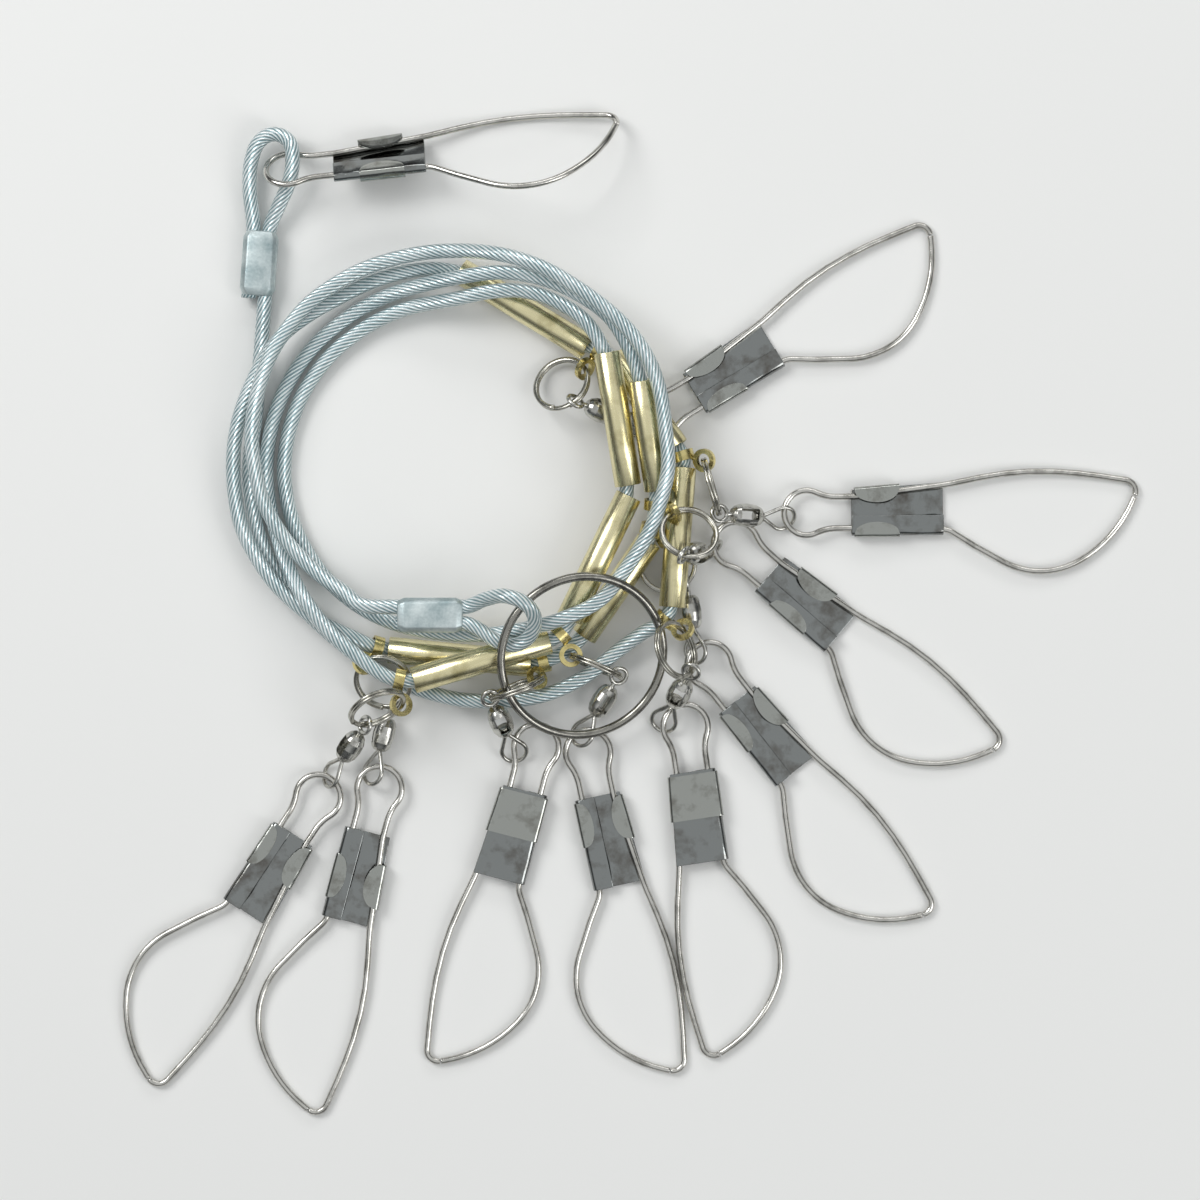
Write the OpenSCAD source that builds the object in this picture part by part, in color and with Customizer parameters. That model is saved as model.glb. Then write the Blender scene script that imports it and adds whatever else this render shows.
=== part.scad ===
// Cable fish stringer: a coiled wire rope with an eye at each end, brass spacer tubes and hanger straps,
// split rings, barrel swivels and spring-wire snaps, laid down flat. Millimetres, +Z up, resting on z = 0.

/* [Rope] */
// Diameter of the coated wire rope
rope_d = 4.4; // [4.2:0.1:4.4]
// Length of the pressed ferrule
ferrule_len = 19.5; // [16:0.5:21]
// Width of the ferrule, across both passes of the rope
ferrule_w = 10.4; // [10:0.1:11]
// Thickness of the ferrule
ferrule_t = 6.2; // [5.8:0.1:6.4]

/* [Spacer tubes] */
// Outer diameter of a spacer tube
tube_d = 8; // [7.8:0.1:8]
// Wall of a spacer tube
tube_wall = 0.5; // [0.3:0.05:0.5]
// Diameter of the small hole drilled near a tube's end
tube_hole_d = 1; // [0.8:0.1:1.2]

/* [Hanger straps] */
// Width of the strap where it goes round the rope
strap_w = 3; // [2.8:0.1:3.2]
// Thickness of the strap
strap_t = 0.7; // [0.5:0.05:0.8]
// Distance from the rope's middle to the strap's eye
strap_reach = 7.2; // [7:0.1:7.4]
// Outer diameter of the strap's eye
strap_eye_d = 7; // [6.6:0.1:7.2]
// Hole in the strap's eye
strap_hole_d = 4.2; // [4:0.1:4.6]

/* [Split rings] */
// Outer diameter of a split ring
split_d = 18; // [17.6:0.1:18.4]
// Width of the split ring's wire across the ring
split_wire_w = 1.4; // [1.1:0.05:1.4]
// Height of the two turns of a split ring together
split_wire_h = 1.9; // [1.5:0.05:1.9]

/* [Swivels] */
// Length of the swivel's barrel
barrel_len = 10; // [9.6:0.1:10]
// Diameter of the swivel's barrel
barrel_d = 7.1; // [6.8:0.1:7.1]
// Wall of the barrel
barrel_wall = 0.8; // [0.6:0.05:0.9]
// Width of the window through the barrel
window_w = 3.4; // [3:0.1:3.6]
// Diameter of the eyes' wire
eye_wire_d = 1.3; // [1.1:0.05:1.3]
// Hole in the upper eye
upper_eye_hole = 3.6; // [3.4:0.05:3.8]
// Width of the opening in the lower eye
lower_eye_hole = 6.2; // [6:0.05:6.4]

/* [Snaps] */
// Diameter of the snap's spring wire
snap_wire_d = 1.9; // [1.6:0.05:1.9]
// Length of the lock plate
plate_len = 28; // [27.4:0.1:28.6]
// Width of the lock plate at the small loop
plate_w_near = 14.1; // [13.8:0.1:14.4]
// Width of the lock plate at the big loop
plate_w_far = 16.2; // [16:0.1:16.4]
// Thickness of the plate's sheet
sheet_t = 0.5; // [0.35:0.05:0.5]
// Length of the band round the lock plate
band_len = 13.5; // [12:0.1:14]
// Radius of the small loop, to the middle of its wire
small_loop_r = 6.75; // [6.6:0.05:6.9]

/* [Big ring] */
// Outer diameter of the big ring
big_ring_d = 52; // [51:0.1:52]
// Wire of the big ring
big_ring_wire_d = 2.6; // [2.3:0.05:2.6]

/* [Hidden] */
// Clearance of running fits, on the radius
run_fit = 0.1;
// Clearance round the rope in the ferrules
rope_fit = 0.3;
// Gap left between pieces that lie on each other
lie_gap = 0.3;
// One overrun for all cuts
cut_over = 1;
// Corners of the round bodies
$fn = 48;
rope_sides = 6;

// Middle of the coil, and the rope's stations on it, each [angle in degrees, radius, height]
coil_centre = [-51.6, 43.5];
coil_step_deg = 15;
first_turn = [[165, 60.8, 2.3], [180, 60.8, 2.3], [225, 60.8, 2.3], [240, 62, 2.3], [257, 65.4, 4.2],
              [275, 69.5, 5.8]];
second_turn = [[95, 60.8, 4.6], [125, 62, 5], [142, 64.6, 7.6], [170, 65.2, 7.6], [195, 65, 5.8],
               [213, 62.6, 7.4], [228, 60.2, 7.8], [239, 58.2, 7.2]];
third_turn = [[42, 65.8, 17.5], [55, 64.7, 16], [66, 62.9, 15.6], [76, 60.6, 15], [86, 57.8, 13], [96, 56.3, 9],
              [110, 55.8, 4.5], [122, 55.6, 2.8], [150, 55.5, 2.4], [190, 55.5, 2.4], [203, 55.8, 5],
              [213, 56.8, 9.5], [222, 58.2, 12.8], [240, 61.3, 14.4]];
fourth_turn = [[47, 60, 15.2], [57, 59.6, 13.4], [67, 57.9, 12.6], [77, 54.6, 12.6], [88, 51.2, 10.4],
               [102, 50.4, 5.5], [120, 50.1, 3], [150, 50.1, 2.4], [185, 50.1, 2.4], [215, 49.6, 4],
               [235, 49.2, 6.5], [252, 48.9, 8.5], [266, 49, 10.5], [280, 50.2, 12.6], [293, 52.2, 15.4],
               [306, 55.6, 17.6]];
last_turn = [[55, 66, 21.8], [66, 66, 20.8], [76, 65.8, 18], [87, 65.5, 12.6], [98, 65.5, 9.8],
             [112, 65.5, 9.8], [130, 65.2, 11], [148, 63.4, 13.1], [170, 60, 12.8], [190, 56.5, 11],
             [207, 52.5, 11.4], [220, 49.8, 13], [230, 48.2, 15.6]];

// The rope's points where it isn't coiled, chosen by hand
first_eye = [[-112.4, 95.4, 3.5], [-111.6, 105.8, 3.5], [-110.9, 116.2, 3.6], [-112, 129, 4.6],
             [-111.4, 136.6, 5.2], [-108.8, 142.4, 6], [-104.2, 144.4, 7], [-99.9, 142, 7.8],
             [-98.8, 136.6, 8.2], [-99.8, 130, 7.9], [-103, 123.2, 5.6], [-106, 116.2, 3.6],
             [-106.7, 105.8, 3.5], [-107.5, 95.4, 3.4], [-108.4, 84, 2.6], [-109.4, 72, 2.3]];
under_tubes = [[-25.4, -24.6, 5.8], [-12, -19, 5], [-1, -10.6, 5], [6.5, -5.2, 6.8]];
strap_spot_6 = [12.9, -1.4, 8.4];
seat_t7 = [[15, 2.4, 9.3], [18.3, 44.2, 9.3]];
strap_spot_3 = [18.2, 47.6, 9.2];
seat_t6 = [[16.2, 50.4, 9], [-2.9, 77.7, 7.4]];
strap_spot_2 = [-6.9, 79.7, 7.2];
seat_t1 = [[-10.4, 80.2, 7], [-48.6, 103.5, 4.8]];
seat_t9 = [[-70.2, -10.5, 4.5], [-27.3, -14.7, 4.5]];
strap_spot_9 = [-73.7, -9.8, 4.8];
strap_spot_8 = [-23.4, -13.8, 4.7];
before_t5 = [-16.6, -10.6, 4.8];
seat_t5 = [[-11.4, -6.3, 5], [8.1, 22.2, 9]];
strap_spot_5 = [8.9, 25.6, 9.9];
strap_spot_4 = [10, 33, 12];
seat_t3 = [[10.6, 37.4, 13.7], [5.7, 70, 17.8]];
strap_spot_10 = [-66.6, -19.6, 14.2];
seat_t8 = [[-62.4, -19.5, 14.6], [-21.8, -7.7, 11.5]];
strap_spot_7 = [-18.4, -5.6, 11.1];
seat_t4 = [[-15.9, -1.2, 11.2], [2, 35.7, 12.5]];
seat_t2 = [[1.8, 38.8, 13], [-4.6, 78.4, 15.9]];
over_tubes = [[-6.6, 4.5, 16.8], [0.9, 13.5, 16.6], [8.4, 25.5, 18.7], [12, 36, 19.8], [13.6, 43.5, 20.2],
              [12.8, 55.5, 21.2], [10.9, 67.5, 22.6], [7.2, 77, 23], [0.6, 86, 22.6]];
second_eye = [[-78.6, 3.4, 17.2], [-67, 2.45, 17.8], [-57.2, 2.45, 17.8], [-47.4, 2.45, 17.8], [-46.4, 2.5, 17.9],
              [-40.4, 4.8, 22.4], [-34, 5.6, 28.5], [-28.6, 3.4, 28.7], [-25.9, -1.4, 24.2],
              [-27.6, -6.4, 20.6], [-32.2, -8.9, 18.7], [-38, -7.4, 18.5], [-42.8, -4.2, 18.2],
              [-46.4, -2.5, 17.9], [-47.4, -2.45, 17.8], [-57.2, -2.45, 17.8], [-67.4, -2.45, 17.8]];

function polar(s) = [coil_centre.x + s.y * cos(s.x), coil_centre.y + s.y * sin(s.x), s.z];
function smooth(t) = t * t * (3 - 2 * t);
function between(a, b, t) = [a.x + (b.x - a.x) * t, a.y + (b.y - a.y) * smooth(t),
                             a.z + (b.z - a.z) * smooth(t)];
// Points of one coiled stretch: stations joined smoothly, a point at least every coil_step_deg
function coiled(st) = concat(
    [for (i = [0:len(st) - 2]) let (n = ceil((st[i + 1].x - st[i].x) / coil_step_deg))
        for (k = [0:n - 1]) polar(between(st[i], st[i + 1], k / n))],
    [polar(st[len(st) - 1])]);
// A tube's seat gives the rope four points along the tube, low in its bore
rope_drop = tube_d / 2 - tube_wall - rope_d / 2 - lie_gap;
seat_shares = [0.07, 0.35, 0.65, 0.93];
function on_seat(s) = [for (t = seat_shares) s[0] + (s[1] - s[0]) * t - [0, 0, rope_drop]];

route = concat(first_eye, coiled(first_turn), under_tubes, [strap_spot_6], on_seat(seat_t7), [strap_spot_3],
               on_seat(seat_t6), [strap_spot_2], on_seat(seat_t1), coiled(second_turn), [strap_spot_9],
               on_seat(seat_t9), [strap_spot_8, before_t5], on_seat(seat_t5), [strap_spot_5, strap_spot_4],
               on_seat(seat_t3), coiled(third_turn), [strap_spot_10], on_seat(seat_t8), [strap_spot_7],
               on_seat(seat_t4), on_seat(seat_t2), coiled(fourth_turn), over_tubes, coiled(last_turn),
               second_eye);

function unit(v) = v / norm(v);
function tangent(i) = i == 0 ? unit(route[1] - route[0])
    : i == len(route) - 1 ? unit(route[i] - route[i - 1])
    : unit(unit(route[i + 1] - route[i]) + unit(route[i] - route[i - 1]));
function curve(i, t) = let (a = route[i], b = route[i + 1], m = norm(b - a), u = tangent(i) * m,
                            v = tangent(i + 1) * m)
    a * (2 * t * t * t - 3 * t * t + 1) + u * (t * t * t - 2 * t * t + t)
    + b * (3 * t * t - 2 * t * t * t) + v * (t * t * t - t * t);
// Halfway points are added where the rope turns sharply
function bend(i) = acos(min(1, tangent(i) * tangent(i + 1)));
sharp_bend_deg = 14;
rope_points = concat([for (i = [0:len(route) - 2])
                         each bend(i) > sharp_bend_deg ? [route[i], curve(i, 0.5)] : [route[i]]],
                     [route[len(route) - 1]]);

// A tube along points, its rings square to the way it runs
module swept(pts, d, sides) {
    last = len(pts) - 1;
    function along(i) = i == 0 ? unit(pts[1] - pts[0]) : i == last ? unit(pts[last] - pts[last - 1])
        : unit(unit(pts[i + 1] - pts[i]) + unit(pts[i] - pts[i - 1]));
    rings = [for (i = [0:last]) let (t = along(i), side = unit(cross([0, 0, 1], t)), up = cross(t, side))
        for (k = [0:sides - 1]) pts[i] + d / 2 * (cos(k * 360 / sides) * side + sin(k * 360 / sides) * up)];
    skin = [for (i = [0:last - 1], k = [0:sides - 1])
        let (a = i * sides + k, b = i * sides + (k + 1) % sides) each [[a, a + sides, b], [b, a + sides, b + sides]]];
    near_end = [[for (k = [0:sides - 1]) k]];
    far_end = [[for (k = [sides - 1:-1:0]) last * sides + k]];
    polyhedron(points = rings, faces = concat(skin, near_end, far_end), convexity = 20);
}

// Least clearance of the rope to itself, between points at least one turn of an eye apart
self_gap_span = 7;
self_gap = min([for (i = [0:len(rope_points) - 1], k = [i + self_gap_span:1:len(rope_points) - 1])
    norm(rope_points[i] - rope_points[k])]) - rope_d;
rope_length = [for (i = 0, s = 0; i < len(rope_points); i = i + 1,
    s = i < len(rope_points) ? s + norm(rope_points[i] - rope_points[i - 1]) : s) s];
echo(least_gap_of_rope_to_itself = self_gap, rope_length = rope_length[len(rope_points) - 1],
     rope_rings = len(rope_points));

// Vectors and frames: x runs along u, z leans as near to n as it can
function dir(az, el) = [cos(az) * cos(el), sin(az) * cos(el), sin(el)];
function square_to(n, u) = unit(n - (n * u) * u);
module aim(at, u, n) {
    z = square_to(n, u);
    y = cross(z, u);
    multmatrix([[u.x, y.x, z.x, at.x], [u.y, y.y, z.y, at.y], [u.z, y.z, z.z, at.z]]) children();
}
function spot_index(p) = [for (i = [0:len(route) - 1]) if (route[i] == p) i][0];

// Hangers 2 to 10 as they lie. Angles in degrees: azimuth and elevation of strap and ring, lean of the
// ring about its chord, azimuth of the swivel, heading of the snap, angle of its link on the small loop
first_hanger = 2;
spots = [strap_spot_2, strap_spot_3, strap_spot_4, strap_spot_5, strap_spot_6, strap_spot_7, strap_spot_8,
         strap_spot_9, strap_spot_10];
strap_turns = [[-126, 3], [-12, 26], [-28, 40], [-37, -61], [-29, 34], [-65, 3], [-112, 40],
              [-129, 34], [-85, 2]];
ring_turns = [[-106, 22], [-74, -3], [-76, 29], [-60, 1], [-79, 12], [-24, -18], [-157, 19],
              [-58, -17], [-151, -5]];
ring_leans = [-152, -87, -17, 184, 129, 86, 84, 22, 118];
ring_chord_shares = [0.67, 0.99, 0.9, 0.96, 0.79, 0.99, 0.96, 0.97, 0.74];
swivel_turns = [-20, -4, 10, -83, -118, -122, -67, -106, -125];
swivel_reach_shares = [1.0, 1.04, 1.1, 0.94, 0.99, 0.93, 1.01, 0.91, 1.07];
snap_turns = [31.0, 0.5, -41.0, -52.0, -81.5, -78.0, -104.5, -105.0, -123.5];
link_turns = [169, 194, 236, 182, 115, 177, 63, 208, 183];
turned_over = [0, 0, 0, 0, 1, 0, 1, 0, 0];
// Turns of barrel and lower eye about the swivel's line
barrel_rolls = [18, -4, 8, 1, -2, 2, -2, -24, 3];
eye_rolls = [22, 30, 51, 39, 1, 35, 9, 43, 48];

ring_mean_d = split_d - split_wire_w;
upper_eye_r = (upper_eye_hole + eye_wire_d) / 2;
lower_eye_r = (lower_eye_hole + eye_wire_d) / 2;
barrel_half = barrel_len / 2;
upper_eye_at = barrel_half + upper_eye_r + eye_wire_d + lie_gap;
lower_stem_share = 0.355;
lower_eye_at = barrel_half + (1 + lower_stem_share) * (lower_eye_r + eye_wire_d);
swivel_reach = upper_eye_at + lower_eye_at;
upper_slack_share = 0.15;
link_height = eye_wire_d + 3 * lie_gap + snap_wire_d / 2;

function rope_dir(k) = tangent(spot_index(spots[k]));
function strap_dir(k) = dir(strap_turns[k].x, strap_turns[k].y);
function ring_hook(k) = spots[k] + strap_reach * strap_dir(k);
function ring_dir(k) = dir(ring_turns[k].x, ring_turns[k].y);
function ring_chord(k) = ring_chord_shares[k] * ring_mean_d;
function ring_foot(k) = ring_hook(k) + ring_chord(k) * ring_dir(k);
function ring_side(k) = let (e = ring_dir(k), side = unit(cross([0, 0, 1], e)))
    cos(ring_leans[k]) * side + sin(ring_leans[k]) * cross(e, side);
function ring_centre(k) = (ring_hook(k) + ring_foot(k)) / 2
    + sqrt(pow(ring_mean_d / 2, 2) - pow(ring_chord(k) / 2, 2)) * ring_side(k);
function ring_normal(k) = cross(ring_dir(k), ring_side(k));
function hook_line(k) = unit(cross(ring_normal(k), ring_hook(k) - ring_centre(k)));
function foot_line(k) = unit(cross(ring_normal(k), ring_foot(k) - ring_centre(k)));
function swivel_stretch(k) = swivel_reach_shares[k] * swivel_reach;
function swivel_dir(k) = dir(swivel_turns[k], asin((link_height - ring_foot(k).z) / swivel_stretch(k)));
function barrel_centre(k) = ring_foot(k) + (upper_eye_at + upper_slack_share
    * (swivel_stretch(k) - swivel_reach)) * swivel_dir(k);
function link(k) = ring_foot(k) + swivel_stretch(k) * swivel_dir(k);

// The snap's outline in its own plane: x from the small loop's end of the plate to the tip. Each move is a
// length or a radius, as a share of plate_len, and a turn in degrees; a turn of 0 runs straight
fixed_line_share = -0.157;
fixed_end_share = 0.446;
neck_share = 0.16;
neck_bend_share = 0.5;
neck_bend_deg = 25.4;
loop_deg = 180 + 2 * neck_bend_deg;
leg_shares = [[0.607, 7], [0.893, 0], [1.91, 4.5], [0.268, 0], [3.268, -14.5], [4.714, -6], [0.286, 0]];
tip_bend_share = 0.125;
tip_bend_deg = -105.5;
gate_shares = [[0.071, 0], [1.375, -36], [0.839, -59], [0.357, 0], [0.179, -3], [0.25, 0], [0.232, 31.5],
               [0.268, 0]];
loop_shares = [[fixed_end_share + neck_share, 0], [neck_bend_share, neck_bend_deg],
               [small_loop_r / plate_len, -loop_deg], [neck_bend_share, neck_bend_deg], [neck_share, 0]];

function move(p, m) = let (r = m.x * plate_len * sign(m.y))
    m.y == 0 ? [p.x + m.x * plate_len * cos(p.z), p.y + m.x * plate_len * sin(p.z), p.z]
    : [p.x + r * (sin(p.z + m.y) - sin(p.z)), p.y - r * (cos(p.z + m.y) - cos(p.z)), p.z + m.y];
function walk(p, moves, i = 0) = i == len(moves) ? [p] : concat([p], walk(move(p, moves[i]), moves, i + 1));
// The wire's middle line, with a point at least every wire_step_deg of its bends
wire_step_deg = 15;
wire_sides = 8;
function trace(p, moves, i = 0) = i == len(moves) ? [[p.x, p.y, 0]] : let (m = moves[i],
    n = m.y == 0 ? 1 : ceil(abs(m.y) / wire_step_deg))
    concat([for (j = [0:n - 1]) let (q = j == 0 ? p : move(p, [m.x, m.y * j / n])) [q.x, q.y, 0]],
           trace(move(p, m), moves, i + 1));

loop_start = [fixed_end_share * plate_len, fixed_line_share * plate_len, 180];
loop_stops = walk(loop_start, loop_shares);
loop_middle = [(loop_stops[2].x + loop_stops[3].x) / 2
               - small_loop_r * sin(loop_deg / 2 - 90), (loop_stops[2].y + loop_stops[3].y) / 2];
leg_start = [0, loop_stops[len(loop_stops) - 1].y, 0];
leg_stops = walk(leg_start, leg_shares);
tip_start = leg_stops[len(leg_stops) - 1];
tip = move(tip_start, [tip_bend_share, tip_bend_deg]);
tip_clear = 1.5 * run_fit;
tip_clear_deg = tip_clear / (tip_bend_share * plate_len) * 180 / PI;
gate_stops = walk(tip, gate_shares);
latch = gate_stops[len(gate_stops) - 1];

module snap_wires() {
    moves = concat(loop_shares, leg_shares, [[tip_bend_share, tip_bend_deg + tip_clear_deg]]);
    swept(trace(loop_start, moves), snap_wire_d, wire_sides);
}
module gate_wire() {
    stops = trace([0, 0, 0], gate_shares);
    translate([tip.x, tip.y, 0]) rotate([0, 0, tip.z])
        swept(concat([[tip_clear, 0, 0]], [for (i = [1:len(stops) - 1]) stops[i]]), snap_wire_d, wire_sides);
}

// The lock plate: a sheet folded up and over along its lower edge, with a band round it whose ends fold over
// the front as two half ovals
sheet_gap = snap_wire_d + 2 * run_fit;
plate_t = sheet_gap + 2 * sheet_t;
plate_low_share = 0.475;
plate_low = plate_low_share * plate_w_near;
flange_edge = latch.y + snap_wire_d / 2 + 2 * lie_gap;
band_t = sheet_t;
band_at = 2 * sheet_t;
band_tab_share = 0.32;
band_tab = band_tab_share * band_len;
module plate_outline(grow) {
    polygon([[0, -plate_low - grow], [plate_len, -plate_low - grow], [plate_len, plate_w_far - plate_low + grow],
             [0, plate_w_near - plate_low + grow]]);
}
module lock_plate() {
    difference() {
        translate([0, 0, -plate_t / 2]) linear_extrude(plate_t) plate_outline(0);
        translate([-cut_over, sheet_t - plate_low, -sheet_gap / 2])
            cube([plate_len + 2 * cut_over, 2 * plate_w_far, sheet_gap]);
        translate([-cut_over, flange_edge, 0]) cube([plate_len + 2 * cut_over, 2 * plate_w_far, plate_t]);
    }
    difference() {
        translate([band_at, -plate_w_far, -plate_t / 2 - band_t])
            cube([band_len, 2 * plate_w_far, plate_t + 2 * band_t]);
        translate([0, 0, -plate_t]) linear_extrude(2 * plate_t) difference() {
            translate([-cut_over, -2 * plate_w_far]) square([plate_len + 2 * cut_over, 4 * plate_w_far]);
            plate_outline(band_t);
        }
        translate([0, 0, sheet_t / 2 - plate_t / 2]) linear_extrude(plate_t - sheet_t)
            plate_outline(-sheet_t / 2);
        translate([0, 0, plate_t / 2 - sheet_t / 2]) linear_extrude(plate_t) tab_window();
    }
}
// The band's front is open between its two tabs
module tab_window() {
    tab_r = (pow(band_len / 2, 2) + pow(band_tab, 2)) / (2 * band_tab);
    middle = band_at + band_len / 2;
    top = plate_w_near - plate_low + (plate_w_far - plate_w_near) * middle / plate_len + band_t;
    difference() {
        translate([0, -plate_w_far]) square([plate_len, 2 * plate_w_far]);
        translate([middle, top + tab_r - band_tab]) circle(r = tab_r);
        translate([middle, band_tab - tab_r - plate_low - band_t]) circle(r = tab_r);
    }
}

ring_groove = split_wire_w / 7;
module split_ring_turns() {
    rotate_extrude() translate([ring_mean_d / 2, 0]) {
        for (s = [0, 1]) mirror([0, s]) translate([-split_wire_w / 2, ring_groove / 2])
            square([split_wire_w, (split_wire_h - ring_groove) / 2]);
        square([split_wire_w - 2 * ring_groove, split_wire_h - ring_groove], center = true);
    }
}

// The swivel lies along x, its barrel's middle at the origin, the upper eye on the negative side
barrel_shares = [[-0.5, 0.52], [-0.42, 0.74], [-0.26, 0.93], [0, 1], [0.26, 0.93], [0.42, 0.74], [0.5, 0.52]];
pin_d = eye_wire_d + run_fit;
pin_head_d = 2.4 * pin_d;
pin_head_t = barrel_wall;
cavity_r = barrel_d / 2 * 0.72 - run_fit;
end_wall = 2 * barrel_wall;
module barrel() {
    difference() {
        rotate([0, 90, 0]) rotate_extrude() polygon(concat([[0, -barrel_half]],
            [for (q = barrel_shares) [q.y * barrel_d / 2, q.x * barrel_len]], [[0, barrel_half]]));
        translate([-barrel_half + end_wall, 0, 0]) rotate([0, 90, 0])
            cylinder(r = cavity_r, h = barrel_len - 2 * end_wall);
        translate([-barrel_half - cut_over, 0, 0]) rotate([0, 90, 0])
            cylinder(d = pin_d + 2 * run_fit, h = barrel_len + 2 * cut_over);
        cube([barrel_len - 2 * end_wall - barrel_wall, window_w, 2 * barrel_d], center = true);
    }
}
module headed_pin(reach) {
    rotate([0, 90, 0]) cylinder(d = pin_d, h = reach + pin_head_t + lie_gap);
    translate([reach + lie_gap, 0, 0]) rotate([0, 90, 0]) cylinder(d = pin_head_d, h = pin_head_t);
}
module upper_eye() {
    translate([-upper_eye_at, 0, 0]) {
        rotate_extrude() translate([upper_eye_r, 0]) circle(d = eye_wire_d);
        translate([upper_eye_r, 0, 0]) headed_pin(upper_eye_at - upper_eye_r - barrel_half + end_wall);
    }
}
module lower_eye() {
    translate([lower_eye_at, 0, 0]) {
        rotate_extrude() translate([lower_eye_r, 0]) circle(d = eye_wire_d);
        translate([-lower_eye_r, 0, 0]) rotate([0, 0, 180])
            headed_pin(lower_eye_at - lower_eye_r - barrel_half + end_wall);
    }
}

// A strap goes round the rope and ends in an eye whose hole faces along the ring's wire
strap_fit = 0.6;
band_id = rope_d + 2 * strap_fit;
band_od = band_id + 2 * strap_t;
strap_eye_t = 2 * strap_t;
module strap(k) {
    across = square_to(strap_dir(k), rope_dir(k));
    neck_from = band_id / 2 + strap_t / 2;
    color("goldenrod") {
        difference() {
            union() {
                aim(spots[k], across, rope_dir(k)) cylinder(d = band_od, h = strap_w, center = true);
                aim(spots[k] + neck_from * strap_dir(k), strap_dir(k), rope_dir(k)) rotate([0, 90, 0])
                    cylinder(d = strap_w / 2, h = strap_reach - strap_hole_d / 2 - strap_t / 2 - neck_from);
            }
            aim(spots[k], across, rope_dir(k)) cylinder(d = band_id, h = strap_w + 2 * cut_over, center = true);
        }
        aim(ring_hook(k), strap_dir(k), hook_line(k)) difference() {
            cylinder(d = strap_eye_d, h = strap_eye_t, center = true);
            cylinder(d = strap_hole_d, h = strap_eye_t + 2 * cut_over, center = true);
        }
    }
}

module ring(k) {
    color("silver") multmatrix([for (r = [0:2]) [ring_dir(k)[r], ring_side(k)[r], ring_normal(k)[r],
                                                 ring_centre(k)[r]]]) split_ring_turns();
}
module swivel(k) {
    color("silver") aim(barrel_centre(k), swivel_dir(k), foot_line(k)) rotate([barrel_rolls[k], 0, 0]) {
        barrel();
        upper_eye();
    }
}
module swivel_eye(k) {
    color("lightsteelblue") aim(barrel_centre(k), swivel_dir(k), [0, 0, 1]) rotate([eye_rolls[k], 0, 0])
        lower_eye();
}

// A snap lies with its link in the swivel's lower eye and its tip on the ground
link_drop = link_height - (snap_wire_d + run_fit) / 2;
function link_at(turn) = [loop_middle.x + small_loop_r * cos(turn), loop_middle.y + small_loop_r * sin(turn)];
function snap_pitch(turn) = asin(link_drop / (tip.x - link_at(turn).x));
module snap_place(k) {
    translate(link(k)) rotate([0, snap_pitch(link_turns[k]), snap_turns[k]]) rotate([180 * turned_over[k], 0, 0])
        translate([-link_at(link_turns[k]).x, -link_at(link_turns[k]).y, 0]) children();
}
module snap_body() {
    color("gainsboro") snap_wires();
    color("silver") lock_plate();
}
module snap(k) snap_place(k) snap_body();
module gate(k) color("gainsboro") snap_place(k) gate_wire();

// The end snap lies in the first eye, rolled onto the edge of its plate
end_link = [-106.8, 133, 9];
end_roll_deg = -42;
end_pitch_deg = 0;
end_heading_deg = 6;
module end_place() {
    translate(end_link) rotate([0, end_pitch_deg, end_heading_deg]) rotate([end_roll_deg, 0, 0])
        translate([-link_at(180).x, -link_at(180).y, 0]) children();
}

module rope() color("lightslategray") swept(rope_points, rope_d, rope_sides);
module ferrule(middle, heading) {
    round_d = ferrule_t;
    pass = (norm(first_eye[12] - first_eye[1])) / 2;
    color("slategray") translate(middle) rotate([0, 0, heading]) rotate([0, 90, 0]) difference() {
        linear_extrude(ferrule_len, center = true) {
            for (s = [-1, 1]) translate([0, s * (ferrule_w - round_d) / 2]) circle(d = round_d);
            square([round_d, ferrule_w - round_d], center = true);
        }
        for (s = [-1, 1]) translate([0, s * pass, 0])
            cylinder(d = rope_d + rope_fit, h = ferrule_len + 2 * cut_over, center = true);
    }
}
ferrule_1_line = first_eye[2] - first_eye[0];
ferrule_1_middle = (first_eye[1] + first_eye[12]) / 2;
ferrule_2_middle = (second_eye[2] + second_eye[15]) / 2;
module ferrules() {
    ferrule(ferrule_1_middle, atan2(ferrule_1_line.y, ferrule_1_line.x));
    ferrule(ferrule_2_middle, 0);
}

seats = [seat_t1, seat_t2, seat_t3, seat_t4, seat_t5, seat_t6, seat_t7, seat_t8, seat_t9];
module tubes() {
    color("khaki") for (q = seats) aim(q[0], unit(q[1] - q[0]), [0, 0, 1]) rotate([0, 90, 0]) difference() {
        cylinder(d = tube_d, h = norm(q[1] - q[0]));
        translate([0, 0, -cut_over]) cylinder(d = tube_d - 2 * tube_wall, h = norm(q[1] - q[0]) + 2 * cut_over);
        translate([-tube_d, 0, tube_d / 2]) rotate([0, 90, 0]) cylinder(d = tube_hole_d, h = tube_d);
    }
}

big_ring_centre = [-11.9, -12.2, 16.2];
big_ring_slope = [-0.22, 0.3];
module big_ring() {
    color("silver") aim(big_ring_centre, unit([1, 0, big_ring_slope.x]), unit([-big_ring_slope.x,
        -big_ring_slope.y, 1])) rotate_extrude()
            translate([(big_ring_d - big_ring_wire_d) / 2, 0]) circle(d = big_ring_wire_d);
}

// The middle of the object as it lies is the origin
laid_middle = [2.7, 0.4, 0];
module laid() translate(-laid_middle) children();

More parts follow.
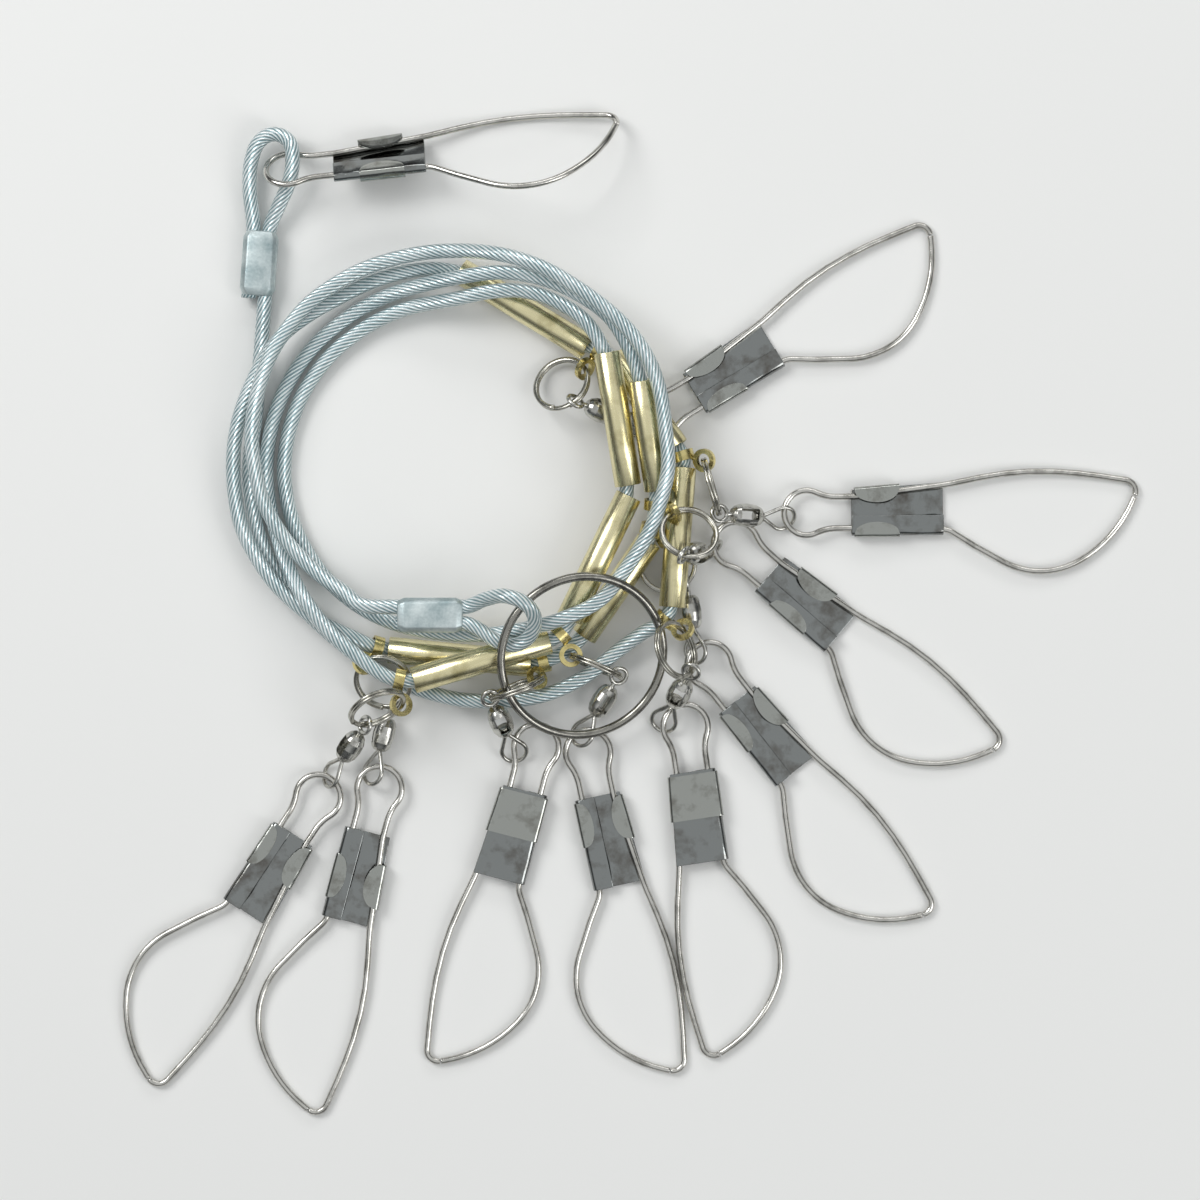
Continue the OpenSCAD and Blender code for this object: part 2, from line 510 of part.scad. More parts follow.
laid() rope();
laid() ferrules();
laid() tubes();  // spacer_tubes
laid() big_ring();
laid() end_place() snap_body();  // snap_1
laid() color("gainsboro") end_place() gate_wire();  // snap_gate_1
laid() strap(2 - first_hanger);  // hanger_strap_2
laid() strap(3 - first_hanger);  // hanger_strap_3
laid() strap(4 - first_hanger);  // hanger_strap_4
laid() strap(5 - first_hanger);  // hanger_strap_5
laid() strap(6 - first_hanger);  // hanger_strap_6
laid() strap(7 - first_hanger);  // hanger_strap_7
laid() strap(8 - first_hanger);  // hanger_strap_8
laid() strap(9 - first_hanger);  // hanger_strap_9
laid() strap(10 - first_hanger);  // hanger_strap_10
laid() ring(2 - first_hanger);  // split_ring_2
laid() ring(3 - first_hanger);  // split_ring_3
laid() ring(4 - first_hanger);  // split_ring_4
laid() ring(5 - first_hanger);  // split_ring_5
laid() ring(6 - first_hanger);  // split_ring_6
laid() ring(7 - first_hanger);  // split_ring_7
laid() ring(8 - first_hanger);  // split_ring_8
laid() ring(9 - first_hanger);  // split_ring_9
laid() ring(10 - first_hanger);  // split_ring_10
laid() swivel(2 - first_hanger);  // swivel_2
laid() swivel(3 - first_hanger);  // swivel_3
laid() swivel(4 - first_hanger);  // swivel_4
laid() swivel(5 - first_hanger);  // swivel_5
laid() swivel(6 - first_hanger);  // swivel_6
laid() swivel(7 - first_hanger);  // swivel_7
laid() swivel(8 - first_hanger);  // swivel_8
laid() swivel(9 - first_hanger);  // swivel_9
laid() swivel(10 - first_hanger);  // swivel_10
laid() swivel_eye(2 - first_hanger);  // swivel_eye_2
laid() swivel_eye(3 - first_hanger);  // swivel_eye_3
laid() swivel_eye(4 - first_hanger);  // swivel_eye_4
laid() swivel_eye(5 - first_hanger);  // swivel_eye_5
laid() swivel_eye(6 - first_hanger);  // swivel_eye_6
laid() swivel_eye(7 - first_hanger);  // swivel_eye_7
laid() swivel_eye(8 - first_hanger);  // swivel_eye_8
laid() swivel_eye(9 - first_hanger);  // swivel_eye_9
laid() swivel_eye(10 - first_hanger);  // swivel_eye_10
laid() snap(2 - first_hanger);  // snap_2
laid() snap(3 - first_hanger);  // snap_3
laid() snap(4 - first_hanger);  // snap_4
laid() snap(5 - first_hanger);  // snap_5
laid() snap(6 - first_hanger);  // snap_6
laid() snap(7 - first_hanger);  // snap_7
laid() snap(8 - first_hanger);  // snap_8
laid() snap(9 - first_hanger);  // snap_9
laid() snap(10 - first_hanger);  // snap_10
laid() gate(2 - first_hanger);  // snap_gate_2
laid() gate(3 - first_hanger);  // snap_gate_3
laid() gate(4 - first_hanger);  // snap_gate_4
laid() gate(5 - first_hanger);  // snap_gate_5
laid() gate(6 - first_hanger);  // snap_gate_6
laid() gate(7 - first_hanger);  // snap_gate_7
laid() gate(8 - first_hanger);  // snap_gate_8
laid() gate(9 - first_hanger);  // snap_gate_9
laid() gate(10 - first_hanger);  // snap_gate_10
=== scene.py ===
"""Looks of a cable fish stringer that lies coiled on a pale floor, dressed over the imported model."""
import bmesh
import bpy
import logging
import math
from dataclasses import dataclass, field
from enum import Enum
from mathutils import Matrix, Vector


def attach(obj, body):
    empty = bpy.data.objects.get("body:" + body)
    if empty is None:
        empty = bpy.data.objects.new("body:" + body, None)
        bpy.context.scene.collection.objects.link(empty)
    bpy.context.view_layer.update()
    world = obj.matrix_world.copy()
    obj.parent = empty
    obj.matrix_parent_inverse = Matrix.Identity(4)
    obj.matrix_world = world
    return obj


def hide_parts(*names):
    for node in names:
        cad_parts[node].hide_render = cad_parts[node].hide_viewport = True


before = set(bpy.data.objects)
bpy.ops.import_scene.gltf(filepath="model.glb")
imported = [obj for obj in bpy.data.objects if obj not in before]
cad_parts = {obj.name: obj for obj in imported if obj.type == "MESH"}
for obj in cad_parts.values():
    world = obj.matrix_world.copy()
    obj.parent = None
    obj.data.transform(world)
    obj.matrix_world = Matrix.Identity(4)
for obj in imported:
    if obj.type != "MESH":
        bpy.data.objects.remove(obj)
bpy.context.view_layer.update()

LOG = logging.getLogger("stringer")
MM = 0.001
LAID_MIDDLE = Vector((2.7, 0.4, 0.0))
Pair = tuple[float, float]
Point = tuple[float, float, float]


def linear(code: str) -> tuple[float, float, float, float]:
    """Turn an sRGB hex colour to linear.

    Args:
        code: Six hex digits, with or without a leading hash.
    Returns:
        Red, green, blue and alpha.
    """
    text = code.lstrip("#")
    parts = [int(text[i:i + 2], 16) / 255 for i in (0, 2, 4)]
    red, green, blue = [p / 12.92 if p <= 0.04045 else ((p + 0.055) / 1.055) ** 2.4 for p in parts]
    return (red, green, blue, 1.0)


def feed(tree: bpy.types.NodeTree, node: bpy.types.Node, inputs: dict) -> None:
    """Set the values and links of a node's sockets.

    Args:
        tree: The node tree.
        node: The node that is fed.
        inputs: Socket name or number, and its value, or the socket or the node that feeds it.
    """
    for key, value in inputs.items():
        if isinstance(value, bpy.types.Node):
            value = value.outputs[0]
        if isinstance(value, bpy.types.NodeSocket):
            tree.links.new(value, node.inputs[key])
        else:
            node.inputs[key].default_value = value


def add_node(tree: bpy.types.NodeTree, kind: str, inputs: dict | None = None,
             stops: tuple[tuple[float, str], ...] = (), **settings: object) -> bpy.types.Node:
    """Add one node with its settings, values, links and colour stops.

    Args:
        tree: The node tree.
        kind: The node's type name without its ShaderNode prefix.
        inputs: Socket name or number, and its value, or the socket or the node that feeds it.
        stops: Position and hex colour of each stop of its ramp, in order.
        settings: The node's own properties.
    Returns:
        The new node.
    """
    node = tree.nodes.new("ShaderNode" + kind)
    for name, value in settings.items():
        setattr(node, name, value)
    feed(tree, node, inputs or {})
    if stops:
        cells = node.color_ramp.elements
        while len(cells) < len(stops):
            cells.new(0.5)
        for cell, (place, code) in zip(cells, stops):
            cell.position, cell.color = place, linear(code)
    return node


def add_object(name: str, data: bpy.types.ID) -> bpy.types.Object:
    """Link a new object that holds this data to the scene."""
    made = bpy.data.objects.new(name, data)
    bpy.context.scene.collection.objects.link(made)
    return made


def new_material(name: str) -> tuple[bpy.types.Material, bpy.types.NodeTree, bpy.types.Node]:
    """Start a material with an empty Principled shader.

    Args:
        name: The material's name.
    Returns:
        The material, its tree and its shader node.
    """
    made = bpy.data.materials.new(name)
    made.use_nodes = True
    return made, made.node_tree, made.node_tree.nodes["Principled BSDF"]


@dataclass(frozen=True)
class CoatedRope:
    """Galvanised steel wire rope under a clear vinyl coat: pale strands that shine through a wet-looking skin, with
    painted shade in the grooves between strands and a painted highlight on their crowns.
    """

    strands: int = 12
    lay_mm: float = 26.0
    # strand colours by height: painted shade in the grooves between strands, the flanks between, a painted highlight
    # on the crowns
    painted_groove_shade: str = "#5f7f86"
    flank: str = "#b3c8cb"
    crown: str = "#fbfefe"
    # haze in the coat changes over about 9 mm
    haze_scale: float = 110.0
    strand_depth_mm: float = 0.3

    def material(self) -> bpy.types.Material:
        """Return the rope's material."""
        made, tree, shader = new_material("coated_wire_rope")
        uv = add_node(tree, "UVMap", uv_map="along")
        split = add_node(tree, "SeparateXYZ", {0: uv})
        # u is millimetres along the rope and v one turn round it, so a strand is a slanted line
        along = add_node(tree, "Math", {0: split, 1: -self.strands / self.lay_mm}, operation="MULTIPLY")
        turn = add_node(tree, "Math", {0: split.outputs[1], 1: float(self.strands), 2: along},
                        operation="MULTIPLY_ADD")
        whole = add_node(tree, "Math", {0: turn}, operation="FRACT")
        crown = add_node(tree, "Math", {0: whole, 1: 0.5}, operation="PINGPONG")
        lift = add_node(tree, "Math", {0: crown, 1: 2.0}, operation="MULTIPLY")
        place = add_node(tree, "TexCoord")
        haze = add_node(tree, "TexNoise", {"Vector": place.outputs["Object"],
                                           "Scale": self.haze_scale, "Detail": 3.0})
        mixed = add_node(tree, "Math", {0: haze, 1: 0.5, 2: lift}, operation="MULTIPLY_ADD")
        shift = add_node(tree, "Math", {0: mixed, 1: 0.25}, operation="SUBTRACT")
        # the colour is painted by the strands' height: painted shade low in the grooves, a painted highlight on the
        # crowns
        colour = add_node(tree, "ValToRGB", {"Fac": shift},
                          ((0.04, self.painted_groove_shade), (0.45, self.flank), (0.92, self.crown)))
        bump = add_node(tree, "Bump", {"Height": lift, "Distance": self.strand_depth_mm * MM, "Strength": 0.7})
        feed(tree, shader, {"Base Color": colour, "Normal": bump, "Metallic": 0.45, "Roughness": 0.34,
                            "Coat Weight": 0.7, "Coat Roughness": 0.16})
        return made


@dataclass(frozen=True)
class PressedSleeve:
    """Zinc-plated steel sleeve, pressed: blue-grey satin with a fine grain and paler rubbed places."""

    dark: str = "#93a5a8"
    pale: str = "#d3dddd"
    grain_mm: float = 0.8
    grain_depth_mm: float = 0.08

    def material(self) -> bpy.types.Material:
        """Return the sleeve's material."""
        made, tree, shader = new_material("pressed_zinc_sleeve")
        place = add_node(tree, "TexCoord")
        grain = add_node(tree, "TexNoise", {"Vector": place.outputs["Object"],
                                            "Scale": 1 / (self.grain_mm * MM), "Detail": 4.0})
        broad = add_node(tree, "TexNoise", {"Vector": place.outputs["Object"], "Scale": 160.0, "Detail": 3.0})
        both = add_node(tree, "Math", {0: grain, 1: 0.35, 2: broad}, operation="MULTIPLY_ADD")
        colour = add_node(tree, "ValToRGB", {"Fac": both}, ((0.42, self.dark), (0.9, self.pale)))
        bump = add_node(tree, "Bump", {"Height": grain, "Distance": self.grain_depth_mm * MM, "Strength": 0.6})
        feed(tree, shader, {"Base Color": colour, "Normal": bump, "Metallic": 0.75, "Roughness": 0.42})
        return made


class Coordinates(Enum):
    """Where a metal's pattern is read."""

    OBJECT = "Object"
    ALONG = "along"


@dataclass(frozen=True)
class WornMetal:
    """A plated or drawn metal: a mirror under fine drawn lines and broad tarnish clouds."""

    name: str
    base: str
    tarnish: str
    rough_low: float = 0.14
    rough_high: float = 0.32
    cloud_mm: float = 12.0
    line_mm: float = 0.35
    line_stretch: float = 1.0
    tarnish_share: float = 0.5
    where: Coordinates = Coordinates.OBJECT
    line_bump_mm: float = 0.02
    wave_mm: float = 0.0
    wave_span_mm: float = 11.0
    # the clouds' noise turns to tarnish above this level when the share is 0, and fades over this much
    cloud_level: float = 0.62
    fade: float = 0.3

    def material(self) -> bpy.types.Material:
        """Return the metal's material."""
        made, tree, shader = new_material(self.name)
        if self.where is Coordinates.ALONG:
            source = add_node(tree, "UVMap", uv_map="along").outputs[0]
            scale = (1.0, 1.0, 1.0)
        else:
            source = add_node(tree, "TexCoord").outputs["Object"]
            scale = (1 / MM, 1 / MM, 1 / MM)
        metric = add_node(tree, "Mapping", {"Vector": source, "Scale": scale})
        drawn = add_node(tree, "Mapping", {"Vector": metric, "Scale": (1 / self.line_stretch, 1.0, 1.0)})
        lines = add_node(tree, "TexNoise", {"Vector": drawn, "Scale": 1 / self.line_mm,
                                            "Detail": 3.0, "Roughness": 0.6})
        clouds = add_node(tree, "TexNoise", {"Vector": metric, "Scale": 1 / self.cloud_mm,
                                             "Detail": 5.0, "Roughness": 0.62})
        low = self.cloud_level - self.fade * self.tarnish_share
        colour = add_node(tree, "ValToRGB", {"Fac": clouds}, ((low, self.base), (low + self.fade, self.tarnish)))
        rough = add_node(tree, "MapRange", {0: lines, 1: 0.25, 2: 0.75, 3: self.rough_low, 4: self.rough_high})
        bump = add_node(tree, "Bump", {"Height": lines, "Distance": self.line_bump_mm * MM, "Strength": 0.5})
        if self.wave_mm:
            # rolled sheet is never quite flat: slow waves about a third of the plate wide
            slow = add_node(tree, "TexNoise", {"Vector": metric, "Scale": 1 / self.wave_span_mm, "Detail": 1.0})
            bump = add_node(tree, "Bump", {"Height": slow, "Distance": self.wave_mm * MM,
                                           "Strength": 1.0, "Normal": bump})
        feed(tree, shader, {"Base Color": colour, "Roughness": rough, "Normal": bump, "Metallic": 1.0})
        return made


# Drawn brass tube: pale yellow mirror with lines along it and dull olive streaks
DRAWN_BRASS = WornMetal("drawn_brass", "#e8dfb4", "#a39763", 0.16, 0.36, 9.0, 0.6, 14.0, 0.4, Coordinates.ALONG, 0.03)
# Stamped brass strap: brighter, bent and rubbed
STAMPED_BRASS = WornMetal("stamped_brass", "#e0d193", "#94834a", 0.16, 0.34, 4.0, 0.5)
# Nickel-plated spring steel strip of the split rings
RING_NICKEL = WornMetal("plated_ring_nickel", "#b9b7ae", "#6f6c63", 0.14, 0.3, 5.0, 0.3)
# Bright nickel-plated brass of the swivels
SWIVEL_NICKEL = WornMetal("plated_swivel_nickel", "#c9c8c2", "#77756e", 0.12, 0.28, 4.0, 0.3)
# Bright nickel-plated spring wire, smooth from drawing
WIRE_NICKEL = WornMetal("plated_spring_wire", "#cfcdc7", "#86847d", 0.1, 0.26, 7.0, 0.3)
# Rolled and plated sheet of the lock plates: a mirror with clouds of tarnish and short scratches
SHEET_NICKEL = WornMetal("plated_sheet_nickel", "#8d908f", "#544d45", 0.07, 0.2, 7.0, 0.45, 1.0, 0.5,
                         Coordinates.OBJECT, 0.012, 1.1)
# The band round each lock plate, in a brighter copy of the plate's nickel
BAND_NICKEL = WornMetal("plated_band_nickel", "#a7a9a4", "#6d6a62", 0.08, 0.22, 6.0, 0.4, 1.0, 0.4,
                        Coordinates.OBJECT, 0.012, 0.8)
# Nickel-plated steel wire of the big ring, in a darker nickel
BIG_RING_NICKEL = WornMetal("plated_big_ring", "#97958e", "#55534d", 0.14, 0.3, 6.0, 0.3)


def dressed(piece: bpy.types.Object, finish: bpy.types.Material, body: str, slot: str,
            *nodes: str) -> bpy.types.Object:
    """Give a finished piece its material, its body and the nodes it stands for.

    Args:
        piece: The object, already in place.
        finish: Its material.
        body: The body that it rides on.
        slot: Not used.
        nodes: The solids that it replaces.
    Returns:
        The same object.
    """
    piece.data.materials.clear()
    piece.data.materials.append(finish)
    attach(piece, body)
    if nodes:
        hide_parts(*nodes)
    LOG.info("%s rides on %s", piece.name, body)
    return piece


def repaint(node: str, finish: bpy.types.Material) -> None:
    """Give a solid that stays a new material.

    Args:
        node: The node's name.
        finish: Its material.
    """
    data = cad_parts[node].data
    data.materials.clear()
    data.materials.append(finish)
    LOG.info("%s is dressed in %s", node, finish.name)


def soften(shape: bmesh.types.BMesh, offset: float) -> None:
    """Round all the edges of a bmesh by an offset in millimetres."""
    bmesh.ops.bevel(shape, geom=list(shape.edges), offset=offset, offset_type="OFFSET", segments=2, profile=0.5,
                    affect="EDGES", material=-1, clamp_overlap=True)


def joined(parts: list[tuple[bmesh.types.BMesh, Matrix]]) -> bmesh.types.BMesh:
    """Move each part to its place, join them all in one bmesh and free the parts."""
    whole = bmesh.new()
    for part, place in parts:
        bmesh.ops.transform(part, matrix=place, verts=part.verts)
        held = bpy.data.meshes.new("part")
        part.to_mesh(held)
        part.free()
        whole.from_mesh(held)
        bpy.data.meshes.remove(held)
    return whole


def placed(name: str, shape: bmesh.types.BMesh, place: Matrix | None = None) -> bpy.types.Object:
    """Turn a bmesh drawn in millimetres into an object in the frame's metres.

    Args:
        name: The object's name.
        shape: The bmesh, which is freed.
        place: Where it goes, in millimetres of the laid-out object.
    Returns:
        The object, linked to the scene, at the origin.
    """
    to_frame = Matrix.Scale(MM, 4) @ Matrix.Translation(-LAID_MIDDLE)
    bmesh.ops.transform(shape, matrix=to_frame @ (place or Matrix.Identity(4)), verts=shape.verts)
    data = bpy.data.meshes.new(name)
    shape.to_mesh(data)
    shape.free()
    data.shade_smooth()
    return add_object(name, data)


def tube(name: str, points: list[Vector], diameter: float, sides: int,
         place: Matrix | None = None) -> bpy.types.Object:
    """Make a round tube along points, with a UV map in millimetres along it and turns round it.

    Args:
        name: The object's name.
        points: The middle line, in millimetres.
        diameter: The tube's diameter in millimetres.
        sides: The corners of its section.
        place: Where it goes, in millimetres of the laid-out object.
    Returns:
        The tube's object, at the origin.
    """
    line = bpy.data.curves.new(name + "_line", "CURVE")
    line.dimensions = "3D"
    line.twist_mode = "MINIMUM"
    line.bevel_depth = diameter / 2
    line.bevel_resolution = max(0, sides // 2 - 2)
    spline = line.splines.new("POLY")
    spline.points.add(len(points) - 1)
    for target, point in zip(spline.points, points):
        target.co = (*point, 1.0)
    holder = add_object(name + "_holder", line)
    depth = bpy.context.evaluated_depsgraph_get()
    data = bpy.data.meshes.new_from_object(holder.evaluated_get(depth))
    bpy.data.objects.remove(holder)
    bpy.data.curves.remove(line)
    count = len(data.vertices) // len(points)
    reach = [0.0]
    for first, second in zip(points, points[1:]):
        reach.append(reach[-1] + (second - first).length)
    while data.uv_layers:
        data.uv_layers.remove(data.uv_layers[0])
    layer = data.uv_layers.new(name="along")
    for face in data.polygons:
        turns = [v % count for v in face.vertices]
        wraps = len(turns) == 4 and max(turns) == count - 1 and min(turns) == 0
        for corner, vertex in zip(face.loop_indices, face.vertices):
            turn = vertex % count
            past_seam = count if wraps and turn == 0 else 0
            layer.data[corner].uv = (reach[vertex // count], (turn + past_seam) / count)
    shape = bmesh.new()
    shape.from_mesh(data)
    bmesh.ops.holes_fill(shape, edges=[e for e in shape.edges if e.is_boundary], sides=0)
    shape.to_mesh(data)
    shape.free()
    data.name = name
    data.transform(Matrix.Scale(MM, 4) @ Matrix.Translation(-LAID_MIDDLE) @ (place or Matrix.Identity(4)))
    data.shade_smooth()
    return add_object(name, data)


def frame_along(at: Vector, along: Vector, near: Vector) -> Matrix:
    """Return a place whose x runs along one direction and whose z leans as near as it can to another.

    Args:
        at: The origin of the place.
        along: The direction of x.
        near: The direction that z leans to.
    Returns:
        The 4x4 matrix.
    """
    first = along.normalized()
    third = (near - near.dot(first) * first).normalized()
    return Matrix.Translation(at) @ Matrix((first, third.cross(first), third)).transposed().to_4x4()


def heading(azimuth: float, elevation: float) -> Vector:
    """Return the unit vector of an azimuth and an elevation in degrees."""
    a, e = math.radians(azimuth), math.radians(elevation)
    return Vector((math.cos(a) * math.cos(e), math.sin(a) * math.cos(e), math.sin(e)))


@dataclass
class Route:
    """The rope's middle line, with the same chosen points as the part's source, in millimetres."""

    centre: Pair = (-51.6, 43.5)
    step_deg: float = 15.0
    seat_drop: float = 1.0
    seat_shares: tuple[float, ...] = (0.07, 0.35, 0.65, 0.93)
    first_turn: tuple[Point, ...] = ((165, 60.8, 2.3), (180, 60.8, 2.3), (225, 60.8, 2.3), (240, 62, 2.3),
                                     (257, 65.4, 4.2), (275, 69.5, 5.8))
    second_turn: tuple[Point, ...] = ((95, 60.8, 4.6), (125, 62, 5), (142, 64.6, 7.6), (170, 65.2, 7.6),
                                      (195, 65, 5.8), (213, 62.6, 7.4), (228, 60.2, 7.8), (239, 58.2, 7.2))
    third_turn: tuple[Point, ...] = ((42, 65.8, 17.5), (55, 64.7, 16), (66, 62.9, 15.6), (76, 60.6, 15),
                                     (86, 57.8, 13), (96, 56.3, 9), (110, 55.8, 4.5), (122, 55.6, 2.8),
                                     (150, 55.5, 2.4), (190, 55.5, 2.4), (203, 55.8, 5), (213, 56.8, 9.5),
                                     (222, 58.2, 12.8), (240, 61.3, 14.4))
    fourth_turn: tuple[Point, ...] = ((47, 60, 15.2), (57, 59.6, 13.4), (67, 57.9, 12.6), (77, 54.6, 12.6),
                                      (88, 51.2, 10.4), (102, 50.4, 5.5), (120, 50.1, 3), (150, 50.1, 2.4),
                                      (185, 50.1, 2.4), (215, 49.6, 4), (235, 49.2, 6.5), (252, 48.9, 8.5),
                                      (266, 49, 10.5), (280, 50.2, 12.6), (293, 52.2, 15.4), (306, 55.6, 17.6))
    last_turn: tuple[Point, ...] = ((55, 66, 21.8), (66, 66, 20.8), (76, 65.8, 18), (87, 65.5, 12.6),
                                    (98, 65.5, 9.8), (112, 65.5, 9.8), (130, 65.2, 11), (148, 63.4, 13.1),
                                    (170, 60, 12.8), (190, 56.5, 11), (207, 52.5, 11.4), (220, 49.8, 13),
                                    (230, 48.2, 15.6))
    first_eye: tuple[Point, ...] = ((-112.4, 95.4, 3.5), (-111.6, 105.8, 3.5), (-110.9, 116.2, 3.6), (-112, 129, 4.6),
                                    (-111.4, 136.6, 5.2), (-108.8, 142.4, 6), (-104.2, 144.4, 7), (-99.9, 142, 7.8),
                                    (-98.8, 136.6, 8.2), (-99.8, 130, 7.9), (-103, 123.2, 5.6), (-106, 116.2, 3.6),
                                    (-106.7, 105.8, 3.5), (-107.5, 95.4, 3.4), (-108.4, 84, 2.6), (-109.4, 72, 2.3))
    under_tubes: tuple[Point, ...] = ((-25.4, -24.6, 5.8), (-12, -19, 5), (-1, -10.6, 5), (6.5, -5.2, 6.8))
    before_t5: Point = (-16.6, -10.6, 4.8)
    over_tubes: tuple[Point, ...] = ((-6.6, 4.5, 16.8), (0.9, 13.5, 16.6), (8.4, 25.5, 18.7), (12, 36, 19.8),
                                     (13.6, 43.5, 20.2), (12.8, 55.5, 21.2), (10.9, 67.5, 22.6), (7.2, 77, 23),
                                     (0.6, 86, 22.6))
    second_eye: tuple[Point, ...] = ((-78.6, 3.4, 17.2), (-67, 2.45, 17.8), (-57.2, 2.45, 17.8), (-47.4, 2.45, 17.8),
                                     (-46.4, 2.5, 17.9), (-40.4, 4.8, 22.4), (-34, 5.6, 28.5), (-28.6, 3.4, 28.7),
                                     (-25.9, -1.4, 24.2), (-27.6, -6.4, 20.6), (-32.2, -8.9, 18.7),
                                     (-38, -7.4, 18.5), (-42.8, -4.2, 18.2), (-46.4, -2.5, 17.9),
                                     (-47.4, -2.45, 17.8), (-57.2, -2.45, 17.8), (-67.4, -2.45, 17.8))
    # strap spots of hangers 2 to 10
    spots: tuple[Point, ...] = ((-6.9, 79.7, 7.2), (18.2, 47.6, 9.2), (10, 33, 12), (8.9, 25.6, 9.9),
                                (12.9, -1.4, 8.4), (-18.4, -5.6, 11.1), (-23.4, -13.8, 4.7), (-73.7, -9.8, 4.8),
                                (-66.6, -19.6, 14.2))
    # seats of the nine tubes, from end to end
    seats: tuple[tuple[Point, Point], ...] = (
        ((-10.4, 80.2, 7), (-48.6, 103.5, 4.8)), ((1.8, 38.8, 13), (-4.6, 78.4, 15.9)),
        ((10.6, 37.4, 13.7), (5.7, 70, 17.8)), ((-15.9, -1.2, 11.2), (2, 35.7, 12.5)),
        ((-11.4, -6.3, 5), (8.1, 22.2, 9)), ((16.2, 50.4, 9), (-2.9, 77.7, 7.4)),
        ((15, 2.4, 9.3), (18.3, 44.2, 9.3)), ((-62.4, -19.5, 14.6), (-21.8, -7.7, 11.5)),
        ((-70.2, -10.5, 4.5), (-27.3, -14.7, 4.5)))
    chosen: list[Vector] = field(default_factory=list)

    def __post_init__(self) -> None:
        """Join the stretches in the order in which the rope runs."""
        spot = {n: [Vector(p)] for n, p in zip(range(2, 11), self.spots)}
        seat = {n: self.seated(*ends) for n, ends in zip(range(1, 10), self.seats)}
        self.chosen = (
            self.plain(self.first_eye) + self.coiled(self.first_turn) + self.plain(self.under_tubes) + spot[6]
            + seat[7] + spot[3] + seat[6] + spot[2] + seat[1] + self.coiled(self.second_turn) + spot[9] + seat[9]
            + spot[8] + [Vector(self.before_t5)] + seat[5] + spot[5] + spot[4] + seat[3]
            + self.coiled(self.third_turn) + spot[10] + seat[8] + spot[7] + seat[4] + seat[2]
            + self.coiled(self.fourth_turn) + self.plain(self.over_tubes) + self.coiled(self.last_turn)
            + self.plain(self.second_eye))

    @staticmethod
    def plain(points: tuple[Point, ...]) -> list[Vector]:
        """Return the points as vectors."""
        return [Vector(p) for p in points]

    def coiled(self, stations: tuple[Point, ...]) -> list[Vector]:
        """Return the points of one coiled stretch.

        Args:
            stations: Angle in degrees, radius and height of each station.
        Returns:
            Points at least every step_deg.
        """
        made = []
        for first, second in zip(stations, stations[1:]):
            count = math.ceil((second[0] - first[0]) / self.step_deg)
            for k in range(count):
                t = k / count
                ease = t * t * (3 - 2 * t)
                made.append(self.polar(first[0] + (second[0] - first[0]) * t,
                                       first[1] + (second[1] - first[1]) * ease,
                                       first[2] + (second[2] - first[2]) * ease))
        return made + [self.polar(*stations[-1])]

    def polar(self, angle: float, radius: float, height: float) -> Vector:
        """Return the point at an angle, radius and height of the coil."""
        a = math.radians(angle)
        return Vector((self.centre[0] + radius * math.cos(a), self.centre[1] + radius * math.sin(a), height))

    def seated(self, start: Point, end: Point) -> list[Vector]:
        """Return four points of the rope low in the bore of one tube."""
        first, second = Vector(start), Vector(end)
        return [first + (second - first) * t - Vector((0, 0, self.seat_drop)) for t in self.seat_shares]

    def tangent(self, i: int) -> Vector:
        """Return the unit tangent at a chosen point."""
        p = self.chosen
        if i == 0:
            return (p[1] - p[0]).normalized()
        if i == len(p) - 1:
            return (p[i] - p[i - 1]).normalized()
        return ((p[i + 1] - p[i]).normalized() + (p[i] - p[i - 1]).normalized()).normalized()

    def smooth_line(self, step: float) -> list[Vector]:
        """Return the rope's middle line as a smooth curve.

        Args:
            step: The most that two points lie apart, in millimetres.
        Returns:
            The points in millimetres.
        """
        made = []
        for i in range(len(self.chosen) - 1):
            a, b = self.chosen[i], self.chosen[i + 1]
            reach = (b - a).length
            u, v = self.tangent(i) * reach, self.tangent(i + 1) * reach
            count = max(1, math.ceil(reach / step))
            for k in range(count):
                t = k / count
                made.append(a * (2 * t**3 - 3 * t**2 + 1) + u * (t**3 - 2 * t**2 + t)
                            + b * (3 * t**2 - 2 * t**3) + v * (t**3 - t**2))
        return made + [self.chosen[-1].copy()]


@dataclass
class Rope:
    """The coated wire rope, from the first eye round the coil to the second."""

    route: Route
    diameter: float = 4.4
    length_m: float = 1.853
    step: float = 1.6
    sides: int = 16

    def build(self) -> bpy.types.Object:
        """Return the rope's tube, dressed."""
        line = self.route.smooth_line(self.step)
        piece = tube("Rope", line, self.diameter, self.sides)
        dressed(piece, CoatedRope().material(), "rope_coil", "coated_rope", "rope")
        return piece


